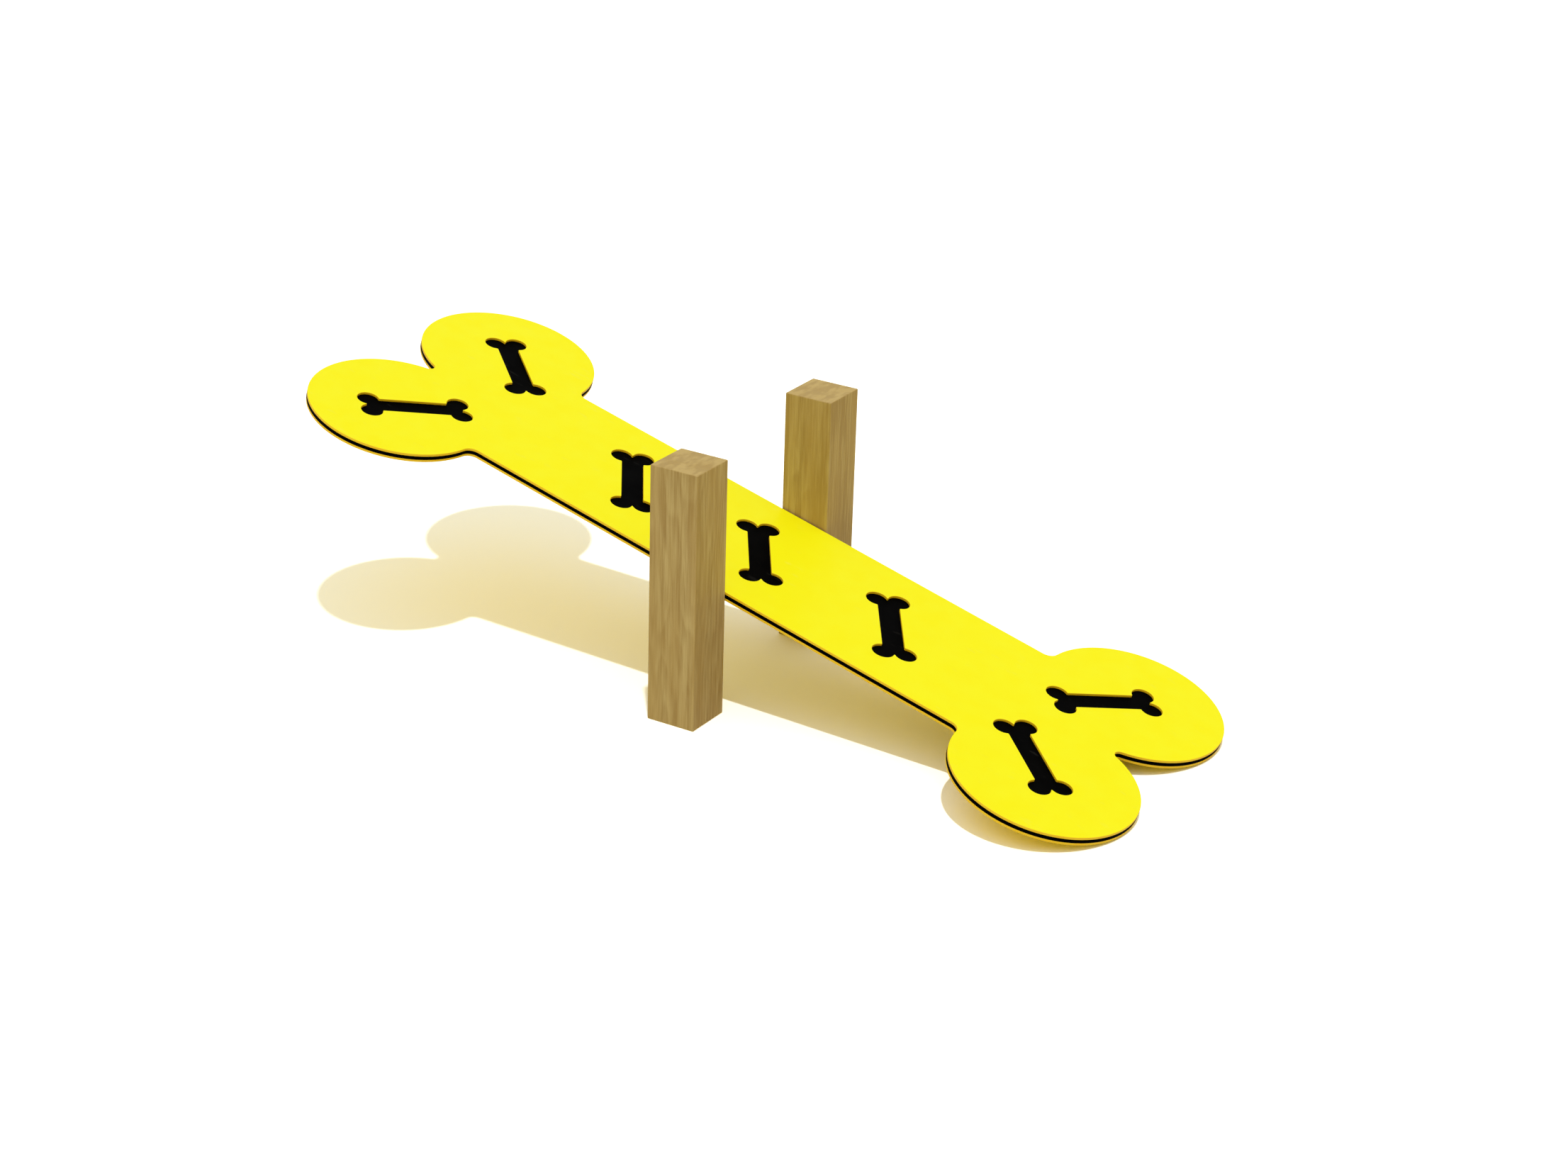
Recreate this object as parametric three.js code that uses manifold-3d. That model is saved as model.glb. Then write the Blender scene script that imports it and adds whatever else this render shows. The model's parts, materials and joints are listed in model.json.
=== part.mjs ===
// Agility seesaw: a bone-shaped three-layer board on a steel under-frame, hinged between two timber posts.
// Millimetres, +Z up. X runs along the board to its lowered end, Y from the near post to the far post.
// The origin is on the ground, midway between the posts.

import * as THREE from "three";
import { mergeVertices } from "three/addons/utils/BufferGeometryUtils.js";
import Module from "manifold-3d";

const wasm = await Module();
wasm.setup();

// Clearances
const seat_gap = 0.3; // between pieces that touch
const running_gap = 0.2; // axle in its bushes, on the radius
const ground_gap = 0.2; // lowered buffers above the ground
const side_clearance = 3.5; // edge of the board to a post
const overrun = 8; // how far a cutter passes the face it opens
const weld_distance = 0.001; // vertices closer than this are one

// Posts
const post_side = 100;
const post_height = 500;
const post_edge = 2; // softened edges
const axle_height = 220;

// Board
const board_length = 1806;
const lobe_radius = 175;
const shaft_width = 350;
const neck_radius = 20; // inside corner from the shaft to a lobe
const crotch_radius = 12; // inside corner between the two lobes of an end
const skin_thickness = 5;
const core_thickness = 6.2;

// Small bones routed through the top skin: the board's own outline at a smaller scale
const pocket_scale_share = 0.121;
const pocket_pitch = 297; // between the three on the shaft
const pocket_row_offset = 3; // middle one of the three from the middle of the board
const shaft_pocket_angle = -55;
const falling_pocket_angle = -40;
const rising_pocket_angle = 50;
// Centre of each lobe's small bone, from the lobe's centre, in lobe radii
const low_near_pocket_shares = [-0.24, 0.18];
const low_far_pocket_shares = [-0.22, -0.24];
const high_near_pocket_shares = [0.12, 0.135];
const high_far_pocket_shares = [0.19, -0.115];

// Under-frame of square steel tube
const rail_side = 30;
const rail_wall = 2;
const rail_corner = 3;
const rail_inset = 95; // middle of a rail from the edge of the shaft
const crossbar_setback = 23; // middle of a crossbar from the lobes' centres, towards the posts
const crossbar_overlap = 65; // end of a crossbar past a lobe's centre
const cap_thickness = 4;
const cap_edge = 1;
const plug_length = 12;

// Axle with its bushes, spacer tubes and thrust washers
const axle_radius = 10;
const axle_edge = 1;
const axle_end_gap = 2; // end of the axle to the end of its bush
const bush_wall = 4;
const bush_length = 48;
const bush_flange_radius = 18;
const bush_flange_thickness = 3;
const spacer_to_board = 1.3; // outside of a spacer tube to the board's underside
const washer_thickness = 2.5;
const end_play = 0.5; // thrust washer to bush

// Pivot plate, let in flush in the inner face of a post, with a closed socket for the bush
const plate_rim = 2; // metal left beside a recess or a countersink
const plate_drop = 60; // below the axle
const plate_thickness = 6;
const plate_corner = 6;
const socket_wall = 4.5;
const socket_floor = 4;

// Foot plate, let in flush in the bottom of a post, with a threaded socket for a ground anchor
const foot_margin = 10; // timber left around the foot plate
const foot_thickness = 5;
const foot_screw_inset = 12; // screw from the plate's edges
const anchor_radius = 7;
const anchor_depth = 36;
const anchor_wall = 7;
const anchor_floor = 4;

// Rubber buffers under the lobes
const buffer_advance = 112; // centre of a buffer past the lobe's centre
const buffer_radius = 25;
const buffer_height = 12;
const buffer_edge = 3;
const buffer_recess_depth = 7.5;

// Countersunk wood screw
const wood_screw_head_radius = 6;
const wood_screw_head_height = 3.4;
const wood_screw_shank_radius = 2.6;
const wood_screw_length = 45;
const wood_screw_point = 6;
const wood_screw_socket_radius = 2.3;
const wood_screw_socket_depth = 2;

// Flanged hexagon screw, for the board and for the axle lock
const hex_shank_radius = 3.7;
const hex_flange_radius = 8.5;
const hex_flange_thickness = 1.5;
const hex_head_radius = 7.4;
const hex_head_height = 5.5;
const hex_point = 2;
const core_left = 1.8; // core left above the point of a screw
const axle_bite = 6; // depth of a lock bolt in the axle

// Round-head screw of a buffer
const buffer_screw_head_radius = 7;
const buffer_screw_head_height = 5;
const buffer_screw_socket_radius = 2.9;
const buffer_screw_socket_depth = 2.6;

// Places of the screws, as shares of half the length of the tube that they go through
const rail_screw_shares = [-0.72, -0.22, 0.22, 0.72];
const crossbar_screw_shares = [-0.84, 0.84];

// Number of straight steps in round stretches
const lobe_steps = 32;
const fillet_steps = 4;
const pocket_lobe_steps = 11;
const pocket_fillet_steps = 2;
const corner_steps = 2;
const turned_steps = 24;
const screw_steps = 10;
const hexagon_steps = 6;

// Sizes that follow from those above, in the board's frame: its origin is on the axle, w is up from the axle
const post_gap = shaft_width + 2 * side_clearance;
const lobe_reach = board_length / 2 - lobe_radius;
const board_underside = rail_side / 2 + seat_gap;
const core_underside = board_underside + skin_thickness + seat_gap;
const top_skin_underside = core_underside + core_thickness + seat_gap;
const board_top = top_skin_underside + skin_thickness;

const rail_offset = shaft_width / 2 - rail_inset;
const crossbar_reach = lobe_reach - crossbar_setback;
const crossbar_length = 2 * (lobe_radius + crossbar_overlap);
const rail_length = 2 * (crossbar_reach - rail_side / 2 - seat_gap);
const buffer_reach = lobe_reach + buffer_advance;
const buffer_top = board_underside - seat_gap;

const hex_bore_radius = hex_shank_radius + seat_gap;
const screw_tip = core_underside + core_thickness - core_left;

const bush_bore_radius = axle_radius + running_gap;
const bush_radius = bush_bore_radius + bush_wall;
const socket_bore_radius = bush_radius + seat_gap;
const socket_radius = socket_bore_radius + socket_wall;
const socket_bore_depth = bush_length + seat_gap;
const socket_depth = socket_bore_depth + socket_floor;
const flange_recess_radius = bush_flange_radius + seat_gap;
const flange_recess_depth = bush_flange_thickness + seat_gap;

const screw_recess_radius = wood_screw_head_radius + seat_gap;
const plate_screw_x = flange_recess_radius + plate_rim + screw_recess_radius;
const plate_half_width = plate_screw_x + screw_recess_radius + plate_rim;
const plate_rise = flange_recess_radius + plate_rim;
const foot_side = post_side - 2 * foot_margin;
const anchor_boss_radius = anchor_radius + anchor_wall;
const anchor_boss_height = anchor_depth + anchor_floor;

// Tilt at which a point of the board group meets the ground
function tiltToGround(u, w) {
  return Math.atan2(w, u) + Math.asin((axle_height - ground_gap) / Math.hypot(u, w));
}

// The board stops where its buffer's lower outer edge meets the ground, or its own tip if that is first
const tilt = Math.min(
  tiltToGround(buffer_reach + buffer_radius - buffer_edge, buffer_top - buffer_height),
  tiltToGround(board_length / 2, board_underside),
);

// Materials
const timber = new THREE.MeshStandardMaterial({ color: 0xa98f59, roughness: 0.8, metalness: 0 });
const yellow_plastic = new THREE.MeshStandardMaterial({ color: 0xfdf328, roughness: 0.45, metalness: 0 });
const black_plastic = new THREE.MeshStandardMaterial({ color: 0x0a0a0a, roughness: 0.5, metalness: 0 });
const galvanised_steel = new THREE.MeshStandardMaterial({ color: 0xa7abae, roughness: 0.5, metalness: 0.9 });
const stainless_steel = new THREE.MeshStandardMaterial({ color: 0xc3c5c6, roughness: 0.3, metalness: 1 });
const bearing_plastic = new THREE.MeshStandardMaterial({ color: 0xe6e4dc, roughness: 0.4, metalness: 0 });
const black_rubber = new THREE.MeshStandardMaterial({ color: 0x1a1a1b, roughness: 0.85, metalness: 0 });

// Joining and cutting

function solidOf(geometry) {
  const bare = new THREE.BufferGeometry();
  bare.setAttribute("position", geometry.getAttribute("position"));
  bare.setIndex(geometry.index);
  const merged = mergeVertices(bare, weld_distance);
  const vertProperties = merged.getAttribute("position").array;
  const triVerts = new Uint32Array(merged.index.array);
  return new wasm.Manifold(new wasm.Mesh({ numProp: 3, vertProperties, triVerts }));
}

function geometryOf(solid) {
  const mesh = solid.getMesh();
  const geometry = new THREE.BufferGeometry();
  geometry.setAttribute("position", new THREE.BufferAttribute(mesh.vertProperties, mesh.numProp));
  geometry.setIndex(new THREE.BufferAttribute(mesh.triVerts, 1));
  return geometry;
}

function join(pieces) {
  return geometryOf(pieces.map(solidOf).reduce((whole, piece) => whole.add(piece)));
}

function cut(geometry, cutters) {
  return geometryOf(cutters.map(solidOf).reduce((rest, cutter) => rest.subtract(cutter), solidOf(geometry)));
}

// Basic forms

// Points on an arc, both ends included
function arc(u, v, radius, from, to, steps) {
  const points = [];
  for (let i = 0; i <= steps; i++) {
    const angle = from + ((to - from) * i) / steps;
    points.push(new THREE.Vector2(u + radius * Math.cos(angle), v + radius * Math.sin(angle)));
  }
  return points;
}

// Flat piece with the given outline, between two heights
function slab(outline, holes, bottom, top) {
  const shape = new THREE.Shape(outline);
  shape.holes = holes.map((hole) => new THREE.Path(hole));
  const geometry = new THREE.ExtrudeGeometry(shape, { depth: top - bottom, bevelEnabled: false });
  return geometry.translate(0, 0, bottom);
}

// Rectangle with round corners
function rectangle(left, right, low, high, corner) {
  const quarter = Math.PI / 2;
  return [
    ...arc(right - corner, low + corner, corner, -quarter, 0, corner_steps),
    ...arc(right - corner, high - corner, corner, 0, quarter, corner_steps),
    ...arc(left + corner, high - corner, corner, quarter, 2 * quarter, corner_steps),
    ...arc(left + corner, low + corner, corner, 2 * quarter, 3 * quarter, corner_steps),
  ];
}

// Piece turned about the Y axis, from a profile of [radius, y] pairs that goes up its outside
function turned(profile, steps) {
  const points = profile.map(([radius, y]) => new THREE.Vector2(radius, y));
  return new THREE.LatheGeometry(points, steps);
}

// Round bar along the Y axis
function bar(radius, low, high, steps) {
  const profile = [
    [0, low],
    [radius, low],
    [radius, high],
    [0, high],
  ];
  return turned(profile, steps);
}

// Tube or ring along the Y axis
function ring(inner, outer, low, high) {
  const profile = [
    [inner, low],
    [outer, low],
    [outer, high],
    [inner, high],
    [inner, low],
  ];
  return turned(profile, turned_steps);
}

// Turns what points along -Y so that it points up
function pointUp(geometry) {
  return geometry.rotateX(-Math.PI / 2);
}

// Vertical bar between two heights, for drilling
function drill(radius, x, y, low, high) {
  return pointUp(bar(radius, -high, -low, screw_steps)).translate(x, y, 0);
}

function add(group, name, geometry, material) {
  const mesh = new THREE.Mesh(geometry, material);
  mesh.name = name;
  group.add(mesh);
  return mesh;
}

// Outline of a bone: four round lobes on a straight shaft, with every size multiplied by the scale
function boneOutline(scale, lobeSteps, filletSteps) {
  const lobe = lobe_radius * scale;
  const half = (shaft_width / 2) * scale;
  const reach = lobe_reach * scale;
  const neck = neck_radius * scale;
  const crotch = crotch_radius * scale;

  // The fillets touch the lobe from outside, so their centres are a lobe and a fillet from its centre
  const crotchAngle = -Math.asin(lobe / (lobe + crotch));
  const crotchU = reach + (lobe + crotch) * Math.cos(crotchAngle);
  const neckAngle = Math.PI - Math.asin((half + neck - lobe) / (lobe + neck));
  const neckU = reach + (lobe + neck) * Math.cos(neckAngle);

  // One quarter, from the middle of the end round the lobe to the shaft
  const quarter = [
    ...arc(crotchU, 0, crotch, Math.PI, Math.PI + crotchAngle, filletSteps),
    ...arc(reach, lobe, lobe, crotchAngle, neckAngle, lobeSteps).slice(1),
    ...arc(neckU, half + neck, neck, neckAngle - Math.PI, -Math.PI / 2, filletSteps).slice(1),
  ];
  const mirrored = (u, v) => quarter.map((p) => new THREE.Vector2(u * p.x, v * p.y));
  return [
    ...mirrored(1, 1),
    ...mirrored(-1, 1).reverse(),
    ...mirrored(-1, -1).slice(1),
    ...mirrored(1, -1).reverse().slice(0, -1),
  ];
}

// Outline of a small bone on the board
function pocketOutline(u, v, degrees) {
  const angle = THREE.MathUtils.degToRad(degrees);
  const origin = new THREE.Vector2(0, 0);
  const place = new THREE.Vector2(u, v);
  const outline = boneOutline(pocket_scale_share, pocket_lobe_steps, pocket_fillet_steps);
  return outline.map((point) => point.rotateAround(origin, angle).add(place));
}

// Outlines of the seven small bones: three along the shaft and one on each lobe
function pocketOutlines() {
  const lobes = [
    [1, -1, low_near_pocket_shares, falling_pocket_angle],
    [1, 1, low_far_pocket_shares, rising_pocket_angle],
    [-1, -1, high_near_pocket_shares, rising_pocket_angle],
    [-1, 1, high_far_pocket_shares, falling_pocket_angle],
  ];
  const row = [-1, 0, 1].map((i) => pocket_row_offset + i * pocket_pitch);
  const outlines = row.map((u) => pocketOutline(u, 0, shaft_pocket_angle));
  for (const [end, side, [along, across], angle] of lobes) {
    const u = end * lobe_reach + along * lobe_radius;
    const v = side * lobe_radius + across * lobe_radius;
    outlines.push(pocketOutline(u, v, angle));
  }
  return outlines;
}

// Screws: each has the underside of its head at y = 0 or its top flush there, and its point towards -Y

function hexagonSocket(radius, depth) {
  return bar(radius, -depth, overrun, hexagon_steps);
}

function woodScrew() {
  const profile = [
    [0, -wood_screw_length],
    [wood_screw_shank_radius, wood_screw_point - wood_screw_length],
    [wood_screw_shank_radius, -wood_screw_head_height],
    [wood_screw_head_radius, 0],
    [0, 0],
  ];
  const socket = hexagonSocket(wood_screw_socket_radius, wood_screw_socket_depth);
  return cut(turned(profile, screw_steps), [socket]);
}

// Space that a wood screw takes up in the pieces that it goes through
function woodScrewBore() {
  const shank = wood_screw_shank_radius + seat_gap;
  const head = screw_recess_radius;
  const profile = [
    [0, -wood_screw_length - seat_gap],
    [shank, -wood_screw_length - seat_gap],
    [shank, -wood_screw_head_height - seat_gap],
    [head, -seat_gap],
    [head, overrun],
    [0, overrun],
  ];
  return turned(profile, screw_steps);
}

function hexScrew(length) {
  const profile = [
    [0, -length],
    [hex_shank_radius - hex_point / 2, -length],
    [hex_shank_radius, hex_point - length],
    [hex_shank_radius, 0],
    [hex_flange_radius, 0],
    [hex_flange_radius, hex_flange_thickness],
    [0, hex_flange_thickness],
  ];
  const head = bar(hex_head_radius, 0, hex_flange_thickness + hex_head_height, hexagon_steps);
  return join([turned(profile, screw_steps), head]);
}

function bufferScrew(length) {
  const profile = [
    [0, -length],
    [hex_shank_radius - hex_point / 2, -length],
    [hex_shank_radius, hex_point - length],
    [hex_shank_radius, 0],
    [buffer_screw_head_radius, 0],
    [buffer_screw_head_radius, buffer_screw_head_height],
    [0, buffer_screw_head_height],
  ];
  const socket = hexagonSocket(buffer_screw_socket_radius, buffer_screw_socket_depth);
  socket.translate(0, buffer_screw_head_height, 0);
  return cut(turned(profile, screw_steps), [socket]);
}

// Post with its pivot and foot plates. In this frame the post's inner face is at y = 0 and faces +Y.

function pivotPlateOutline(gap) {
  const half = plate_half_width + gap;
  return rectangle(-half, half, -plate_drop - gap, plate_rise + gap, plate_corner + gap);
}

// Plate on the inner face, with its outline drawn about the axle
function facePlate(outline, depth, proud) {
  return slab(outline, [], -proud, depth).rotateX(Math.PI / 2).translate(0, 0, axle_height);
}

function atAxle(geometry) {
  return geometry.translate(0, 0, axle_height);
}

function plateScrewPlaces() {
  const margin = screw_recess_radius + plate_rim;
  const above = axle_height + plate_rise - margin;
  const below = axle_height - plate_drop + margin;
  return [
    [-plate_screw_x, above],
    [plate_screw_x, above],
    [-plate_screw_x, below],
    [plate_screw_x, below],
  ];
}

function footScrewPlaces() {
  const reach = foot_side / 2 - foot_screw_inset;
  const middle = -post_side / 2;
  return [
    [-reach, middle - reach],
    [reach, middle + reach],
  ];
}

function buildPivotPlate() {
  const plate = facePlate(pivotPlateOutline(0), plate_thickness, 0);
  const socket = atAxle(bar(socket_radius, -socket_depth, 0, turned_steps));
  const bore = atAxle(bar(socket_bore_radius, -socket_bore_depth, overrun, turned_steps));
  const recess = atAxle(bar(flange_recess_radius, -flange_recess_depth, overrun, turned_steps));
  const screws = plateScrewPlaces().map(([x, z]) => woodScrewBore().translate(x, 0, z));
  return cut(join([plate, socket]), [bore, recess, ...screws]);
}

function buildBush() {
  const profile = [
    [bush_bore_radius, -bush_length],
    [bush_radius, -bush_length],
    [bush_radius, -bush_flange_thickness],
    [bush_flange_radius, -bush_flange_thickness],
    [bush_flange_radius, 0],
    [bush_bore_radius, 0],
    [bush_bore_radius, -bush_length],
  ];
  return atAxle(turned(profile, turned_steps));
}

function footPlateOutline(gap) {
  const half = foot_side / 2 + gap;
  return rectangle(-half, half, -half, half, plate_corner + gap);
}

function buildFootPlate() {
  const middle = -post_side / 2;
  const plate = slab(footPlateOutline(0), [], 0, foot_thickness).translate(0, middle, 0);
  const boss = pointUp(bar(anchor_boss_radius, -anchor_boss_height, 0, turned_steps)).translate(0, middle, 0);
  const thread = pointUp(bar(anchor_radius, -anchor_depth, overrun, turned_steps)).translate(0, middle, 0);
  const screws = footScrewPlaces().map(([x, y]) => pointUp(woodScrewBore()).translate(x, y, 0));
  return cut(join([plate, boss]), [thread, ...screws]);
}

function buildTimber() {
  const half = post_side / 2;
  const side = half - post_edge;
  const outline = [
    [side, -half],
    [half, -side],
    [half, side],
    [side, half],
    [-side, half],
    [-half, side],
    [-half, -side],
    [-side, -half],
  ].map(([x, y]) => new THREE.Vector2(x, y));
  const timberForm = new THREE.ExtrudeGeometry(new THREE.Shape(outline), {
    depth: post_height - 2 * post_edge,
    bevelThickness: post_edge,
    bevelSize: post_edge,
    bevelOffset: -post_edge,
    bevelSegments: 1,
  }).translate(0, -half, post_edge);

  const platePocket = facePlate(pivotPlateOutline(seat_gap), plate_thickness + seat_gap, overrun);
  const socketDepth = socket_depth + seat_gap;
  const socketBore = atAxle(bar(socket_radius + seat_gap, -socketDepth, overrun, turned_steps));
  const footDepth = foot_thickness + seat_gap;
  const footPocket = slab(footPlateOutline(seat_gap), [], -overrun, footDepth).translate(0, -half, 0);
  const bossRadius = anchor_boss_radius + seat_gap;
  const bossDepth = anchor_boss_height + seat_gap;
  const bossBore = pointUp(bar(bossRadius, -bossDepth, overrun, turned_steps)).translate(0, -half, 0);
  const plateScrews = plateScrewPlaces().map(([x, z]) => woodScrewBore().translate(x, 0, z));
  const footScrews = footScrewPlaces().map(([x, y]) => pointUp(woodScrewBore()).translate(x, y, 0));
  return cut(timberForm, [platePocket, socketBore, footPocket, bossBore, ...plateScrews, ...footScrews]);
}

function buildPost(side) {
  const group = new THREE.Group();
  add(group, side + "_post", buildTimber(), timber);
  add(group, side + "_pivot_plate", buildPivotPlate(), galvanised_steel);
  add(group, side + "_axle_bush", buildBush(), bearing_plastic);
  add(group, side + "_foot_plate", buildFootPlate(), galvanised_steel);
  plateScrewPlaces().forEach(([x, z], i) => {
    add(group, side + "_plate_screw_" + (i + 1), woodScrew().translate(x, 0, z), stainless_steel);
  });
  footScrewPlaces().forEach(([x, y], i) => {
    const screw = pointUp(woodScrew()).translate(x, y, 0);
    add(group, side + "_foot_screw_" + (i + 1), screw, stainless_steel);
  });
  return group;
}

// Board with its under-frame, in the board's frame: u along X, v along Y, w up from the axle

// Places of all screws that go up into the board: through rails, crossbars and buffers
function railScrewPlaces() {
  return rail_screw_shares.map((share) => (share * rail_length) / 2);
}

function crossbarScrewPlaces() {
  return crossbar_screw_shares.map((share) => (share * crossbar_length) / 2);
}

function boardScrewPlaces() {
  const places = [];
  for (const side of [-1, 1]) {
    railScrewPlaces().forEach((u) => places.push([u, side * rail_offset]));
    crossbarScrewPlaces().forEach((v) => places.push([side * crossbar_reach, v]));
    places.push([-buffer_reach, side * lobe_radius], [buffer_reach, side * lobe_radius]);
  }
  return places;
}

function addBoard(group) {
  const outline = boneOutline(1, lobe_steps, fillet_steps);
  const bores = boardScrewPlaces().map(([u, v]) => drill(hex_bore_radius, u, v, 0, screw_tip + seat_gap));
  const bottom = slab(outline, [], board_underside, board_underside + skin_thickness);
  const core = slab(outline, [], core_underside, core_underside + core_thickness);
  const top = slab(outline, pocketOutlines(), top_skin_underside, board_top);
  add(group, "board_bottom_skin", cut(bottom, bores), yellow_plastic);
  add(group, "board_core", cut(core, bores), black_plastic);
  add(group, "board_top_skin", top, yellow_plastic);
}

// Square tube along X
function squareTube(length) {
  const half = rail_side / 2;
  const inner = half - rail_wall;
  const hole = rectangle(-inner, inner, -inner, inner, rail_corner - rail_wall);
  const outline = rectangle(-half, half, -half, half, rail_corner);
  return slab(outline, [hole], -length / 2, length / 2).rotateY(Math.PI / 2);
}

function addRails(group) {
  const under = -rail_side / 2 - overrun;
  const above = rail_side / 2 + overrun;
  for (const [side, v] of [["near", -rail_offset], ["far", rail_offset]]) {
    const axleBore = bar(axle_radius + seat_gap, under, above, turned_steps);
    const screwBores = railScrewPlaces().map((u) => drill(hex_bore_radius, u, 0, under, above));
    const lockBore = drill(hex_bore_radius, 0, 0, under, 0);
    const rail = cut(squareTube(rail_length), [axleBore, lockBore, ...screwBores]);
    add(group, side + "_rail", rail.translate(0, v, 0), galvanised_steel);
  }
}

function addCrossbars(group) {
  const under = -rail_side / 2 - overrun;
  const above = rail_side / 2 + overrun;
  for (const [end, u] of [["low", crossbar_reach], ["high", -crossbar_reach]]) {
    const bores = crossbarScrewPlaces().map((v) => drill(hex_bore_radius, 0, v, under, above));
    const tube = cut(squareTube(crossbar_length).rotateZ(Math.PI / 2), bores);
    add(group, end + "_crossbar", tube.translate(u, 0, 0), galvanised_steel);
    for (const [side, turn] of [["near", Math.PI], ["far", 0]]) {
      const cap = buildCap().rotateZ(turn).translate(u, 0, 0);
      add(group, end + "_crossbar_" + side + "_cap", cap, black_plastic);
    }
  }
}

// Plastic cap in the end of a crossbar that faces +Y
function buildCap() {
  const half = rail_side / 2;
  const plug = half - rail_wall - seat_gap;
  const seat = crossbar_length / 2;
  const face = new THREE.Shape(rectangle(-half, half, -half, half, rail_corner));
  const head = new THREE.ExtrudeGeometry(face, {
    depth: cap_thickness - 2 * cap_edge,
    bevelThickness: cap_edge,
    bevelSize: cap_edge,
    bevelOffset: -cap_edge,
    bevelSegments: 1,
  }).translate(0, 0, cap_edge);
  const stem = slab(rectangle(-plug, plug, -plug, plug, rail_corner - rail_wall), [], -plug_length, cap_edge);
  return join([head, stem]).rotateX(-Math.PI / 2).translate(0, seat + seat_gap, 0);
}

function addAxle(group) {
  const half = post_gap / 2 + bush_length - axle_end_gap;
  const profile = [
    [0, -half],
    [axle_radius - axle_edge, -half],
    [axle_radius, axle_edge - half],
    [axle_radius, half - axle_edge],
    [axle_radius - axle_edge, half],
    [0, half],
  ];
  const seats = [-rail_offset, rail_offset];
  const biteTop = -axle_radius + axle_bite + seat_gap;
  const bores = seats.map((v) => drill(hex_bore_radius, 0, v, -axle_radius - overrun, biteTop));
  add(group, "axle", cut(turned(profile, turned_steps), bores), stainless_steel);

  const railFace = rail_offset + rail_side / 2;
  const washerOuter = post_gap / 2 - end_play;
  const washerInner = washerOuter - washer_thickness;
  const bore = axle_radius + seat_gap;
  const outer = board_underside - spacer_to_board;
  for (const [side, turn] of [["near", Math.PI], ["far", 0]]) {
    const spacer = ring(bore, outer, railFace + seat_gap, washerInner - seat_gap).rotateZ(turn);
    const washer = ring(bore, outer, washerInner, washerOuter).rotateZ(turn);
    const lock = pointUp(hexScrew(rail_side / 2 - axle_radius + axle_bite + seat_gap));
    const v = side === "near" ? -rail_offset : rail_offset;
    add(group, side + "_spacer_tube", spacer, galvanised_steel);
    add(group, side + "_thrust_washer", washer, bearing_plastic);
    add(group, side + "_axle_lock_bolt", lock.translate(0, v, -rail_side / 2 - seat_gap), stainless_steel);
  }
}

function addBoardScrews(group) {
  const head = -rail_side / 2 - seat_gap;
  const length = screw_tip - head;
  for (const [side, v] of [["near", -rail_offset], ["far", rail_offset]]) {
    railScrewPlaces().forEach((u, i) => {
      const screw = pointUp(hexScrew(length)).translate(u, v, head);
      add(group, side + "_rail_screw_" + (i + 1), screw, stainless_steel);
    });
  }
  for (const [end, u] of [["low", crossbar_reach], ["high", -crossbar_reach]]) {
    crossbarScrewPlaces().forEach((v, i) => {
      const screw = pointUp(hexScrew(length)).translate(u, v, head);
      add(group, end + "_crossbar_screw_" + (i + 1), screw, stainless_steel);
    });
  }
}

function buildBuffer() {
  const bore = hex_bore_radius;
  const recess = buffer_screw_head_radius + seat_gap;
  const profile = [
    [bore, buffer_recess_depth - buffer_height],
    [recess, buffer_recess_depth - buffer_height],
    [recess, -buffer_height],
    [buffer_radius - buffer_edge, -buffer_height],
    [buffer_radius, buffer_edge - buffer_height],
    [buffer_radius, 0],
    [bore, 0],
    [bore, buffer_recess_depth - buffer_height],
  ];
  return turned(profile, turned_steps).rotateX(Math.PI / 2);
}

function addBuffers(group) {
  const headSeat = buffer_top - buffer_height + buffer_recess_depth - seat_gap;
  const length = screw_tip - headSeat;
  for (const [end, u] of [["low", buffer_reach], ["high", -buffer_reach]]) {
    for (const [side, v] of [["near", -lobe_radius], ["far", lobe_radius]]) {
      const name = end + "_" + side + "_buffer";
      add(group, name, buildBuffer().translate(u, v, buffer_top), black_rubber);
      add(group, name + "_screw", pointUp(bufferScrew(length)).translate(u, v, headSeat), stainless_steel);
    }
  }
}

function buildBoardGroup() {
  const group = new THREE.Group();
  addBoard(group);
  addRails(group);
  addCrossbars(group);
  addAxle(group);
  addBoardScrews(group);
  addBuffers(group);
  group.position.z = axle_height;
  group.rotation.y = tilt;
  return group;
}

const seesaw = new THREE.Group();
const near = buildPost("near");
near.position.y = -post_gap / 2;
const far = buildPost("far");
far.position.y = post_gap / 2;
far.rotation.z = Math.PI;
seesaw.add(near, far, buildBoardGroup());

export default seesaw;
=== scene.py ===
# %% [markdown]
# # A dog agility seesaw
#
# The real object is a bone-shaped board that tips on a steel axle between two square timber posts.
# The board is plastic sheet in three layers, yellow, black and yellow, and small bones are routed
# through the top layer. A frame of square steel tube carries it from below. The sizes and the place
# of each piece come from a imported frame, so a new piece is drawn straight at its place, and one
# hinge tells how far the board tips.

# %% Frame
import json
import math

import bmesh
import bpy
from mathutils import Matrix, Vector


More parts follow.
